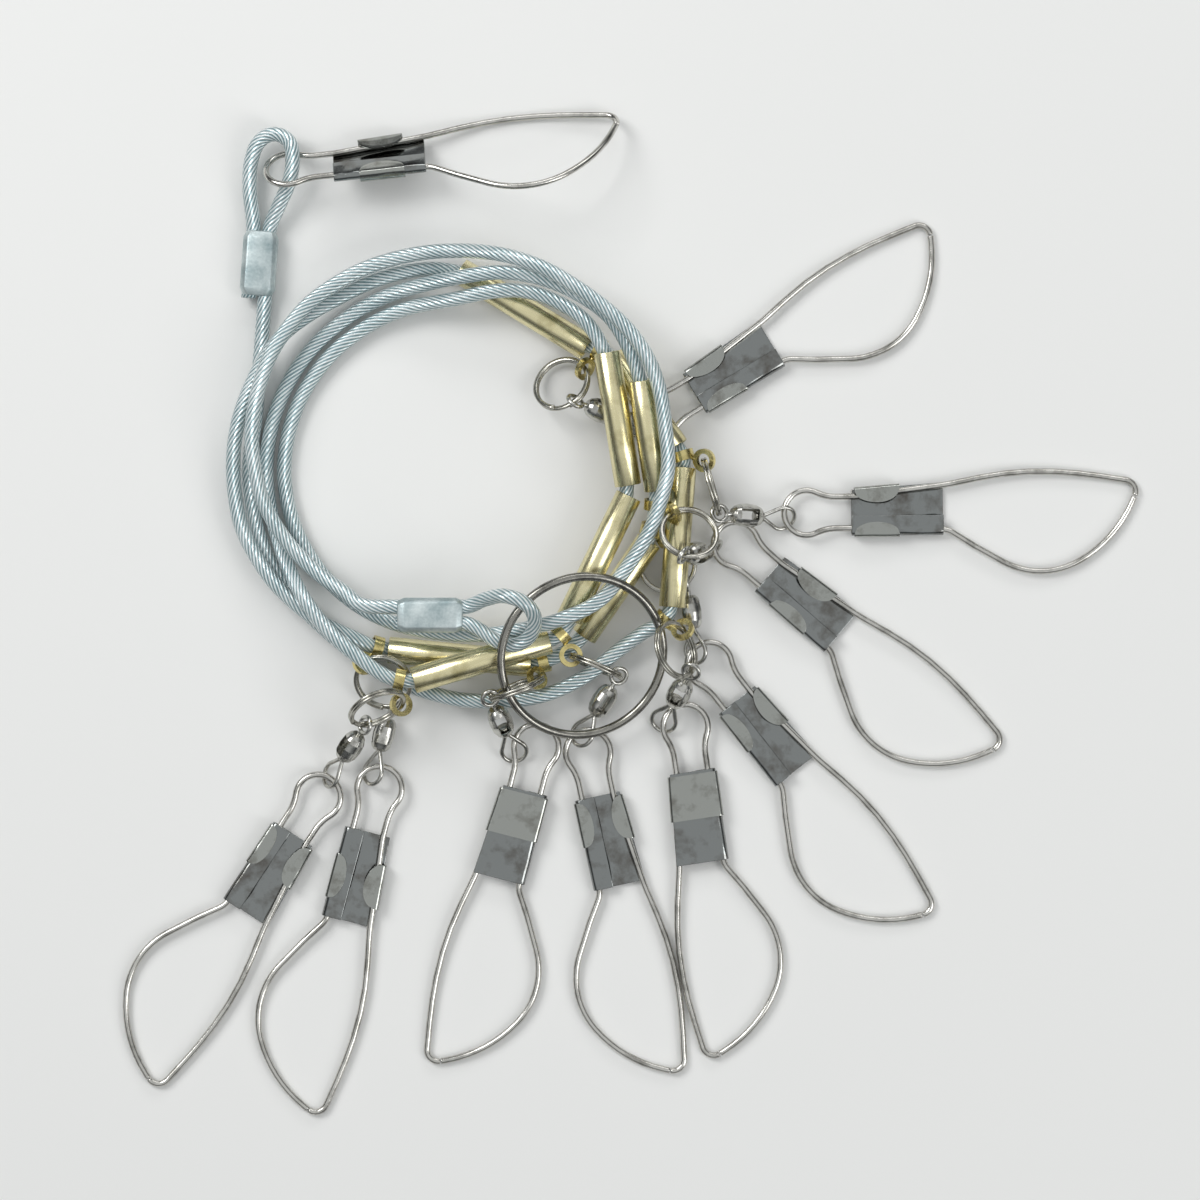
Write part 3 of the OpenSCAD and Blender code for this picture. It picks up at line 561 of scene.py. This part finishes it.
@dataclass
class Ferrules:
    """The two pressed sleeves that close the rope's eyes, with chamfered shoulders."""

    route: Route
    length: float = 19.5
    width: float = 10.4
    thick: float = 6.2
    flat_in: float = 1.5
    corner_share: float = 0.29
    end_share: float = 0.8
    edge_round: float = 0.35
    chamfer: float = 2.0

    def places(self) -> list[Matrix]:
        """Return where the two sleeves lie, each midway between the two ropes that it holds."""
        first, second = self.route.plain(self.route.first_eye), self.route.plain(self.route.second_eye)
        return [frame_along((first[1] + first[12]) / 2, first[2] - first[0], Vector((0, 0, 1))),
                frame_along((second[2] + second[15]) / 2, Vector((1, 0, 0)), Vector((0, 0, 1)))]

    def sleeve(self) -> bmesh.types.BMesh:
        """Return one sleeve along x: an eight-sided pressing whose ends are pulled in."""
        shape = bmesh.new()
        flat, corner = self.thick / 2, self.thick * self.corner_share
        wide = self.width / 2
        inner = wide - self.flat_in
        outline = [(-wide, corner), (-inner, flat), (inner, flat), (wide, corner), (wide, -corner),
                   (inner, -flat), (-inner, -flat), (-wide, -corner)]
        end = 0.5 * self.length
        cut = [(-end, self.end_share), (self.chamfer - end, 1.0), (end - self.chamfer, 1.0), (end, self.end_share)]
        start = [shape.verts.new((cut[0][0], y * cut[0][1], z * cut[0][1])) for y, z in outline]
        cap = shape.faces.new(start)
        for (x0, s0), (x1, s1) in zip(cut, cut[1:]):
            grown = bmesh.ops.extrude_face_region(shape, geom=[cap])
            verts = [g for g in grown["geom"] if isinstance(g, bmesh.types.BMVert)]
            old = cap
            cap = [g for g in grown["geom"] if isinstance(g, bmesh.types.BMFace)][0]
            for vert in verts:
                vert.co = Vector((x1, vert.co.y * s1 / s0, vert.co.z * s1 / s0))
            if old.is_valid and x0 != cut[0][0]:
                shape.faces.remove(old)
        bmesh.ops.recalc_face_normals(shape, faces=shape.faces)
        soften(shape, self.edge_round)
        return shape

    def build(self) -> bpy.types.Object:
        """Return both sleeves as one dressed piece."""
        piece = placed("Ferrules", joined([(self.sleeve(), place) for place in self.places()]))
        return dressed(piece, PressedSleeve().material(), "rope_coil", "coated_ferrule", "ferrules")


@dataclass
class SpacerTubes:
    """The nine drawn brass tubes on the rope, each with rounded lips."""

    route: Route
    diameter: float = 8.0
    wall: float = 0.5
    lip: float = 0.14
    steps: int = 64

    def one(self, length: float) -> bmesh.types.BMesh:
        """Return one tube along x, its section spun round once.

        Args:
            length: The tube's length in millimetres.
        Returns:
            The tube with its UV map in millimetres along and round it.
        """
        outer, inner, lip = self.diameter / 2, self.diameter / 2 - self.wall, self.lip
        section = [(0, inner + lip), (0, outer - lip), (lip, outer), (length * 0.5, outer), (length - lip, outer),
                   (length, outer - lip), (length, inner + lip), (length - lip, inner), (lip, inner)]
        shape = bmesh.new()
        verts = [shape.verts.new((x, 0, r)) for x, r in section]
        edges = [shape.edges.new((a, b)) for a, b in zip(verts, verts[1:] + verts[:1])]
        bmesh.ops.spin(shape, geom=verts + edges, cent=(0, 0, 0), axis=(1, 0, 0), dvec=(0, 0, 0),
                       angle=math.tau, steps=self.steps, use_merge=True, use_duplicate=False)
        bmesh.ops.remove_doubles(shape, verts=shape.verts, dist=0.001)
        bmesh.ops.recalc_face_normals(shape, faces=shape.faces)
        layer = shape.loops.layers.uv.new("along")
        for face in shape.faces:
            middle = face.calc_center_median()
            centre = math.atan2(middle.y, middle.z)
            for loop in face.loops:
                turn = math.atan2(loop.vert.co.y, loop.vert.co.z)
                turn = centre + (turn - centre + math.pi) % math.tau - math.pi
                loop[layer].uv = (loop.vert.co.x, turn * outer)
        return shape

    def build(self) -> bpy.types.Object:
        """Return the nine tubes as one dressed piece."""
        parts = []
        for start, end in self.route.seats:
            first, run = Vector(start), Vector(end) - Vector(start)
            parts.append((self.one(run.length), frame_along(first, run, Vector((0, 0, 1)))))
        piece = placed("SpacerTubes", joined(parts))
        return dressed(piece, DRAWN_BRASS.material(), "rope_coil", "brass", "spacer_tubes")


@dataclass(frozen=True)
class SplitRing:
    """A flat wire of two turns, with the step where it passes from the lower turn to the upper one."""

    outer_d: float = 18.0
    wire_w: float = 1.4
    wire_h: float = 0.93
    flat_deg: float = 316.0
    step_deg: float = 56.0
    corner: float = 0.24
    turn_gap: float = 0.02
    flat_steps: int = 40
    rise_steps: int = 12

    def shape(self) -> bmesh.types.BMesh:
        """Return the ring round z."""
        middle, w, h = (self.outer_d - self.wire_w) / 2, self.wire_w / 2, self.wire_h / 2
        cut = self.corner
        made = bmesh.new()
        section = [(-w + cut, -h), (w - cut, -h), (w, -h + cut), (w, h - cut), (w - cut, h), (-w + cut, h),
                   (-w, h - cut), (-w, -h + cut)]
        rise = self.wire_h + self.turn_gap
        start = [made.verts.new((middle + x, 0, z - rise / 2)) for x, z in section]
        face = made.faces.new(start)
        moving = [face] + list(start) + list(face.edges)
        flat = (self.flat_deg, self.flat_steps, 0.0)
        for angle, steps, climb in (flat, (self.step_deg, self.rise_steps, rise), flat):
            spun = bmesh.ops.spin(made, geom=moving, cent=(0, 0, 0), axis=(0, 0, 1), dvec=(0, 0, climb / steps),
                                  angle=math.radians(angle), steps=steps, use_merge=False, use_duplicate=False)
            moving = spun["geom_last"]
        inner = [f for f in made.faces if len(f.verts) == 8 and f is not face and f not in moving]
        bmesh.ops.delete(made, geom=inner, context="FACES_ONLY")
        bmesh.ops.recalc_face_normals(made, faces=made.faces)
        return made


@dataclass(frozen=True)
class TeardropEye:
    """The swivel's lower eye: one wire bent to a drop, its two legs going into the barrel to a head."""

    wire_d: float = 1.3
    eye_r: float = 3.75
    eye_at: float = 11.84
    neck_at: float = 5.1
    inside_at: float = 3.1
    # half the gap between the legs' middle lines: inside, at the barrel's mouth and just outside it
    leg_halves: tuple[float, float, float] = (0.28, 0.3, 0.5)
    mouth: Pair = (-0.5, 0.3)
    arc_steps: int = 40
    head_r: float = 1.6
    head_t: float = 0.8
    head_taper: float = 0.8
    head_round: float = 0.1

    def line(self) -> list[Vector]:
        """Return the wire's middle line, with the barrel's middle at the origin and the eye along x."""
        lean = math.acos(self.eye_r / (self.eye_at - self.neck_at))
        turn = math.pi - lean
        arc = [Vector((self.eye_at + self.eye_r * math.cos(a), self.eye_r * math.sin(a), 0))
               for a in [turn - 2 * turn * i / self.arc_steps for i in range(self.arc_steps + 1)]]
        stations = (self.inside_at, self.neck_at + self.mouth[0], self.neck_at + self.mouth[1])
        legs = [Vector((x, half, 0)) for x, half in zip(stations, self.leg_halves)]
        back = [Vector((p.x, -p.y, 0)) for p in reversed(legs)]
        return legs + arc + back

    def build(self, number: int, place: Matrix, metal: bpy.types.Material) -> None:
        """Make and dress the eye and its head.

        Args:
            number: The hanger's number.
            place: The swivel's place, its x along the swivel.
            metal: The finish.
        """
        dressed(tube(f"SwivelEye_{number}", self.line(), self.wire_d, 12, place), metal, f"swivel_eye_{number}",
                "bright_nickel", f"swivel_eye_{number}")
        head = bmesh.new()
        bmesh.ops.create_cone(head, cap_ends=True, cap_tris=False, segments=24, radius1=self.head_r,
                              radius2=self.head_r * self.head_taper, depth=self.head_t)
        soften(head, self.head_round)
        bmesh.ops.transform(head, matrix=Matrix.Translation((self.inside_at - self.head_t / 2, 0, 0))
                            @ Matrix.Rotation(math.radians(90), 4, "Y"), verts=head.verts)
        dressed(placed(f"SwivelHead_{number}", head, place), metal, f"swivel_eye_{number}", "bright_nickel")


@dataclass
class Hanger:
    """One hanger as it lies: strap, split ring, swivel and snap, at the angles of the part's source."""

    number: int
    spot: Vector
    strap: Pair
    ring: Pair
    lean: float
    chord_share: float
    swivel: float
    reach_share: float
    snap: float
    link: float
    over: bool
    # how far the barrel slides along with a share of the reach above or below 1
    slide: float = 0.15
    strap_reach: float = 7.2
    ring_d: float = 16.6
    swivel_reach: float = 20.891
    upper_eye_at: float = 9.05
    link_height: float = 3.15
    link_drop: float = 2.15

    def hook(self) -> Vector:
        """Return where the ring hangs in the strap's eye."""
        return self.spot + self.strap_reach * heading(*self.strap)

    def foot(self) -> Vector:
        """Return where the swivel hangs on the ring."""
        return self.hook() + self.chord_share * self.ring_d * heading(*self.ring)

    def ring_place(self) -> Matrix:
        """Return the ring's place, its middle and its plane."""
        along = heading(*self.ring)
        side = Vector((0, 0, 1)).cross(along).normalized()
        a = math.radians(self.lean)
        across = math.cos(a) * side + math.sin(a) * along.cross(side)
        chord = self.chord_share * self.ring_d
        middle = (self.hook() + self.foot()) / 2 + math.sqrt((self.ring_d / 2) ** 2 - (chord / 2) ** 2) * across
        return frame_along(middle, along, along.cross(across))

    def link_point(self) -> Vector:
        """Return where the snap's small loop hangs in the swivel's lower eye."""
        return self.foot() + self.reach_share * self.swivel_reach * self.swivel_line()

    def swivel_line(self) -> Vector:
        """Return the direction of the swivel, from the ring to the snap."""
        stretch = self.reach_share * self.swivel_reach
        return heading(self.swivel, math.degrees(math.asin((self.link_height - self.foot().z) / stretch)))

    def eye_place(self, roll: float) -> Matrix:
        """Return the lower eye's place.

        Args:
            roll: Its turn about the swivel's line, in degrees.
        Returns:
            The 4x4 matrix, with the barrel's middle as its origin.
        """
        line = self.swivel_line()
        slid = self.slide * (self.reach_share - 1) * self.swivel_reach
        middle = self.foot() + (self.upper_eye_at + slid) * line
        return frame_along(middle, line, Vector((0, 0, 1))) @ Matrix.Rotation(math.radians(roll), 4, "X")


@dataclass
class WirePath:
    """A bent wire's middle line in the snap's own plane, drawn as straight runs and bends."""

    plate_len: float = 28.0
    step_deg: float = 5.0

    def move(self, state: Vector, share: float, turn: float) -> Vector:
        """Return the place and direction after one run or bend.

        Args:
            state: x, y and direction in degrees.
            share: Length or radius as a share of the plate's length.
            turn: The bend in degrees, 0 for a straight run.
        Returns:
            The next x, y and direction.
        """
        a = math.radians(state.z)
        if turn == 0:
            return Vector((state.x + share * self.plate_len * math.cos(a),
                           state.y + share * self.plate_len * math.sin(a), state.z))
        radius = share * self.plate_len * (1 if turn > 0 else -1)
        b = math.radians(state.z + turn)
        return Vector((state.x + radius * (math.sin(b) - math.sin(a)),
                       state.y - radius * (math.cos(b) - math.cos(a)), state.z + turn))

    def trace(self, start: Vector, moves: list[Pair]) -> tuple[list[Vector], Vector]:
        """Return the points of a row of moves.

        Args:
            start: x, y and direction in degrees.
            moves: Share and turn of each.
        Returns:
            The points, and the last x, y and direction.
        """
        points, state = [], start
        for share, turn in moves:
            count = 4 if turn == 0 else max(2, math.ceil(abs(turn) / self.step_deg))
            for j in range(count):
                if j == 0:
                    part = state
                elif turn == 0:
                    part = self.move(state, share * j / count, 0)
                else:
                    part = self.move(state, share, turn * j / count)
                points.append(Vector((part.x, part.y, 0)))
            state = self.move(state, share, turn)
        return points + [Vector((state.x, state.y, 0))], state


@dataclass
class Snap:
    """A spring-wire snap in its own plane: fixed wire with loop and straight leg, gate wire and lock plate."""

    wire_d: float = 1.9
    plate_len: float = 28.0
    near_w: float = 14.1
    far_w: float = 16.2
    sheet_t: float = 0.5
    band_len: float = 13.5
    band_at: float = 1.0
    # the band was pressed on at a different place on these snaps
    band_moved: tuple[tuple[int, float], ...] = ((1, 8.0), (4, 6.0), (9, 8.5))
    tab_reach: float = 3.4
    loop_r: float = 6.75
    low: float = 6.6975
    neck_deg: float = 25.4
    loop_middle: Pair = (-13.3804, 0.348207)
    edge_round: float = 0.2
    tip_gap: float = 0.15
    # free room round the wire, and what the sheet's edges stay back, for the sheet's own thickness
    play: float = 0.1
    edge_back: float = 0.25
    end_back: float = 0.15
    # front flange of the plate, as y of its two points; the back's bend line; the band's corners
    flange: Pair = (-2.4, -0.6)
    back_line: float = -1.0
    # the strip along the top edge, below half the plate's width, that widens with the plate
    widen_depth: float = 1.5
    band_over: float = 0.2
    band_clear: float = 0.02
    # what is left of the tabs at the band's two ends
    tab_end_share: float = 0.03
    band_corner: float = 0.9
    band_steps: int = 24
    plate_steps: int = 10
    fold_steps: int = 10
    path: WirePath = field(default_factory=WirePath)

    def fixed_wire(self) -> tuple[list[Vector], Vector]:
        """Return the fixed wire's points and the tip's x, y and direction."""
        full = 180 + 2 * self.neck_deg
        loop = [(0.446 + 0.16, 0), (0.5, self.neck_deg), (self.loop_r / self.plate_len, -full),
                (0.5, self.neck_deg), (0.16, 0)]
        leg = [(0.607, 7), (0.893, 0), (1.91, 4.5), (0.268, 0), (3.268, -14.5), (4.714, -6), (0.286, 0)]
        start = Vector((0.446 * self.plate_len, -0.157 * self.plate_len, 180))
        first, state = self.path.trace(start, loop)
        second, state = self.path.trace(Vector((0, state.y, 0)), leg)
        bend, tip = self.path.trace(state, [(0.125, -105.5)])
        return first + second[1:] + bend[1:-1], tip

    def gate_wire(self) -> list[Vector]:
        """Return the springy belly wire's points."""
        moves = [(0.071, 0), (1.375, -36), (0.839, -59), (0.357, 0), (0.179, -3), (0.25, 0), (0.232, 31.5),
                 (0.268, 0)]
        points, _ = self.path.trace(self.fixed_wire()[1], moves)
        start = points[0] + (points[1] - points[0]).normalized() * self.tip_gap
        return [start] + points[1:]

    def strip(self, section: list[Pair], start: float, length: float, steps: int) -> bmesh.types.BMesh:
        """Return a sheet whose section is drawn across the plate and extruded along it.

        Args:
            section: y and z of its points, in order.
            start: The first x.
            length: How far it is extruded along x.
            steps: The number of steps.
        Returns:
            The sheet, with no thickness yet, its top edge widened towards the big loop.
        """
        shape = bmesh.new()
        verts = [shape.verts.new((start, y, z)) for y, z in section]
        edges = [shape.edges.new(pair) for pair in zip(verts, verts[1:])]
        for _ in range(steps):
            grown = bmesh.ops.extrude_edge_only(shape, edges=edges)
            verts = [g for g in grown["geom"] if isinstance(g, bmesh.types.BMVert)]
            edges = [g for g in grown["geom"] if isinstance(g, bmesh.types.BMEdge)]
            bmesh.ops.translate(shape, vec=(length / steps, 0, 0), verts=verts)
        for vert in shape.verts:
            if vert.co.y > 0.5 * self.near_w - self.widen_depth:
                vert.co.y += (self.far_w - self.near_w) * vert.co.x / self.plate_len
        return shape

    def plate(self) -> bmesh.types.BMesh:
        """Return the lock plate: a back sheet, a rolled lower edge and a narrow front flange."""
        deep = self.wire_d / 2 + self.play + self.sheet_t / 2
        fold = [(-self.low + deep + self.edge_back - deep * math.sin(a), -deep * math.cos(a))
                for a in [math.pi * i / self.fold_steps for i in range(self.fold_steps + 1)]]
        top = self.near_w - self.low
        section = ([(top - self.edge_back, -deep), (top * 0.4, -deep), (self.back_line, -deep)] + fold
                   + [(y, deep) for y in self.flange])
        return self.strip(section, self.end_back, self.plate_len - 2 * self.end_back, self.plate_steps)

    def band(self, number: int) -> bmesh.types.BMesh:
        """Return the band round the plate, its ends folded over the front as two half ovals.

        Args:
            number: The hanger's number.
        Returns:
            The band, with no thickness yet.
        """
        start = dict(self.band_moved).get(number, self.band_at)
        deep = self.wire_d / 2 + self.play + 1.5 * self.sheet_t + self.band_clear
        low, top, corner = -self.low - self.band_over, self.near_w - self.low + self.band_over, self.band_corner
        near, far = low + corner, top - corner
        rounds = [[(y + corner * math.cos(a), z + corner * math.sin(a))
                   for a in [math.radians(first + turn) for turn in (0, 22.5, 45, 67.5, 90)]]
                  for y, z, first in ((near, deep - corner, 90), (near, corner - deep, 180),
                                      (far, corner - deep, 270), (far, deep - corner, 0))]
        tabs = [self.tab_reach * share for share in (1.0, 0.65, 0.3)]
        section = ([(near + tab, deep) for tab in tabs] + rounds[0] + rounds[1] + [(0.0, -deep)]
                   + rounds[2] + rounds[3] + [(far - tab, deep) for tab in reversed(tabs)])
        shape = self.strip(section, start, self.band_len, self.band_steps)
        middle = start + self.band_len / 2
        for vert in shape.verts:
            if vert.co.z < deep - self.band_clear:
                continue
            off = (vert.co.x - middle) / (self.band_len / 2)
            oval = math.sqrt(max(0.0, 1 - off * off)) * (1 - self.tab_end_share) + self.tab_end_share
            edge = near if vert.co.y < 0 else far + (self.far_w - self.near_w) * vert.co.x / self.plate_len
            vert.co.y = edge + (vert.co.y - edge) * oval
        return shape

    def link_at(self, turn: float) -> Vector:
        """Return a point on the small loop's middle line at an angle in degrees."""
        a = math.radians(turn)
        return Vector((self.loop_middle[0] + self.loop_r * math.cos(a),
                       self.loop_middle[1] + self.loop_r * math.sin(a), 0))

    def build(self, number: int, place: Matrix, wire: bpy.types.Material, sheet: bpy.types.Material,
              band: bpy.types.Material) -> None:
        """Make and dress the pieces of one snap.

        Args:
            number: The hanger's number.
            place: The snap's place in millimetres.
            wire: The wires' material.
            sheet: The lock plate's material.
            band: The band's material.
        """
        points, _ = self.fixed_wire()
        dressed(tube(f"SnapWire_{number}", points, self.wire_d, 12, place), wire, f"snap_{number}", "bright_nickel",
                f"snap_{number}")
        dressed(tube(f"SnapGate_{number}", self.gate_wire(), self.wire_d, 12, place), wire, f"snap_gate_{number}",
                "bright_nickel", f"snap_gate_{number}")
        for name, shape, metal in ((f"LockPlate_{number}", self.plate(), sheet),
                                   (f"LockBand_{number}", self.band(number), band)):
            bmesh.ops.recalc_face_normals(shape, faces=shape.faces)
            piece = placed(name, shape, place)
            thick = piece.modifiers.new("thickness", "SOLIDIFY")
            thick.thickness, thick.offset = self.sheet_t * MM, 0.0
            soft = piece.modifiers.new("edges", "BEVEL")
            soft.width, soft.segments, soft.limit_method = self.edge_round * MM, 3, "ANGLE"
            dressed(piece, metal, f"snap_{number}", "bright_nickel")


@dataclass
class Hangers:
    """The nine hangers and the end snap, at the angles of the part's source."""

    route: Route
    straps: tuple[Pair, ...] = ((-126, 3), (-12, 26), (-28, 40), (-37, -61), (-29, 34), (-65, 3),
                                               (-112, 40), (-129, 34), (-85, 2))
    rings: tuple[Pair, ...] = ((-106, 22), (-74, -3), (-76, 29), (-60, 1), (-79, 12), (-24, -18),
                                              (-157, 19), (-58, -17), (-151, -5))
    leans: tuple[float, ...] = (-152, -87, -17, 184, 129, 86, 84, 22, 118)
    chords: tuple[float, ...] = (0.67, 0.99, 0.9, 0.96, 0.79, 0.99, 0.96, 0.97, 0.74)
    swivels: tuple[float, ...] = (-20, -4, 10, -83, -118, -122, -67, -106, -125)
    reaches: tuple[float, ...] = (1.0, 1.04, 1.1, 0.94, 0.99, 0.93, 1.01, 0.91, 1.07)
    snaps: tuple[float, ...] = (31.0, 0.5, -41.0, -52.0, -81.5, -78.0, -104.5, -105.0, -123.5)
    links: tuple[float, ...] = (169, 194, 236, 182, 115, 177, 63, 208, 183)
    over: tuple[int, ...] = (0, 0, 0, 0, 1, 0, 1, 0, 0)
    end_at: Point = (-106.8, 133, 9)
    end_heading: float = 6
    end_roll: float = -42
    eye_rolls: tuple[float, ...] = (22, 30, 51, 39, 1, 35, 9, 43, 48)

    def hanger(self, k: int) -> Hanger:
        """Return hanger k + 2 with its angles."""
        return Hanger(k + 2, Vector(self.route.spots[k]), self.straps[k], self.rings[k], self.leans[k],
                      self.chords[k], self.swivels[k], self.reaches[k], self.snaps[k], self.links[k],
                      bool(self.over[k]))

    def snap_place(self, one: Hanger, snap: Snap) -> Matrix:
        """Return the place of a hanger's snap.

        Args:
            one: The hanger.
            snap: The snap's sizes.
        Returns:
            The 4x4 matrix, in millimetres.
        """
        tip, link = snap.fixed_wire()[1], snap.link_at(one.link)
        pitch = math.asin(one.link_drop / (tip.x - link.x))
        return (Matrix.Translation(one.link_point()) @ Matrix.Rotation(math.radians(one.snap), 4, "Z")
                @ Matrix.Rotation(pitch, 4, "Y") @ Matrix.Rotation(math.pi if one.over else 0.0, 4, "X")
                @ Matrix.Translation(-link))

    def end_place(self, snap: Snap) -> Matrix:
        """Return the place of the end snap in the first eye."""
        return (Matrix.Translation(self.end_at) @ Matrix.Rotation(math.radians(self.end_heading), 4, "Z")
                @ Matrix.Rotation(math.radians(self.end_roll), 4, "X") @ Matrix.Translation(-snap.link_at(180)))

    def build(self) -> None:
        """Make the rings and snaps, and dress the solids that stay."""
        wire, sheet, band = WIRE_NICKEL.material(), SHEET_NICKEL.material(), BAND_NICKEL.material()
        ring_metal, swivel_metal = RING_NICKEL.material(), SWIVEL_NICKEL.material()
        strap_metal = STAMPED_BRASS.material()
        snap = Snap()
        snap.build(1, self.end_place(snap), wire, sheet, band)
        for k in range(len(self.links)):
            one = self.hanger(k)
            ring = placed(f"SplitRing_{one.number}", SplitRing().shape(), one.ring_place())
            dressed(ring, ring_metal, f"split_ring_{one.number}", "ring_nickel", f"split_ring_{one.number}")
            snap.build(one.number, self.snap_place(one, snap), wire, sheet, band)
            TeardropEye().build(one.number, one.eye_place(self.eye_rolls[k]), swivel_metal)
            for name, metal in ((f"hanger_strap_{one.number}", strap_metal), (f"swivel_{one.number}", swivel_metal)):
                repaint(name, metal)


@dataclass
class Studio:
    """The pale floor, the soft lights, the world and the camera straight above."""

    middle: Pair = (-0.0093, 0.0041)
    height: float = 1.358
    lens: float = 135.0
    sensor: float = 36.0
    floor_half: float = 3.0
    floor_drop: float = 0.0003
    floor_colour: str = "#e9e9e7"
    # from the horizon up to the zenith
    sky: tuple[tuple[float, str], ...] = ((0.5, "#8b8d8e"), (0.62, "#3c3e40"), (0.78, "#7d8082"), (0.9, "#d8dadb"))
    # each lamp's name, place and size in metres, and power in watts
    lamps: tuple[tuple[str, Point, tuple[float, float], float], ...] = (
        ("key", (-0.9, 0.7, 1.1), (0.7, 0.7), 11.0), ("fill", (0.95, -0.5, 0.9), (0.5, 0.9), 5.0),
        ("rim", (0.2, 1.1, 0.6), (1.0, 0.3), 3.0))

    def camera(self) -> None:
        """Place the camera at the photograph's angle."""
        data = bpy.data.cameras.new("above")
        data.lens, data.sensor_width = self.lens, self.sensor
        holder = add_object("above", data)
        holder.location = (*self.middle, self.height)
        bpy.context.scene.camera = holder

    def floor(self) -> None:
        """Lay the plain pale floor."""
        shape = bmesh.new()
        bmesh.ops.create_grid(shape, x_segments=1, y_segments=1, size=self.floor_half)
        bmesh.ops.translate(shape, vec=(0, 0, -self.floor_drop), verts=shape.verts)
        data = bpy.data.meshes.new("floor")
        shape.to_mesh(data)
        shape.free()
        piece = add_object("floor", data)
        made, tree, shader = new_material("pale_floor")
        feed(tree, shader, {"Base Color": linear(self.floor_colour), "Roughness": 0.75})
        data.materials.append(made)

    def lamp(self, name: str, at: Point, size: Pair, power: float) -> None:
        """Hang one soft area lamp that faces the object.

        Args:
            name: The lamp's name.
            at: Where it hangs, in metres.
            size: Its width and length in metres.
            power: Its power in watts.
        """
        data = bpy.data.lights.new(name, "AREA")
        data.shape, data.size, data.size_y, data.energy = "RECTANGLE", size[0], size[1], power
        holder = add_object(name, data)
        holder.location = at
        holder.rotation_euler = (-Vector(at)).to_track_quat("-Z", "Y").to_euler()

    def world(self) -> None:
        """Set a world that is darker towards two sides, so that bright metal shows light and dark bands."""
        made = bpy.data.worlds.new("studio")
        made.use_nodes = True
        tree = made.node_tree
        place = add_node(tree, "TexCoord")
        split = add_node(tree, "SeparateXYZ", {0: place.outputs["Generated"]})
        tilt = add_node(tree, "Math", {0: split.outputs[2], 1: 0.5, 2: 0.5}, operation="MULTIPLY_ADD")
        shade = add_node(tree, "ValToRGB", {"Fac": tilt}, self.sky)
        feed(tree, tree.nodes["Background"], {"Color": shade, "Strength": 1.0})
        bpy.context.scene.world = made

    def build(self) -> None:
        """Set the lights, the world and the floor."""
        self.floor()
        for name, at, size, power in self.lamps:
            self.lamp(name, at, size, power)
        self.world()


def main() -> None:
    """Build the camera and the rope first, then everything that hangs on it, then the studio."""
    bpy.context.scene.view_settings.view_transform = "Standard"
    studio = Studio()
    studio.camera()
    route = Route()
    Rope(route).build()
    Ferrules(route).build()
    SpacerTubes(route).build()
    Hangers(route).build()
    repaint("big_ring", BIG_RING_NICKEL.material())
    studio.build()
    LOG.info("boxes written")


if __name__ == "__main__":
    logging.basicConfig(level=logging.INFO)
    main()
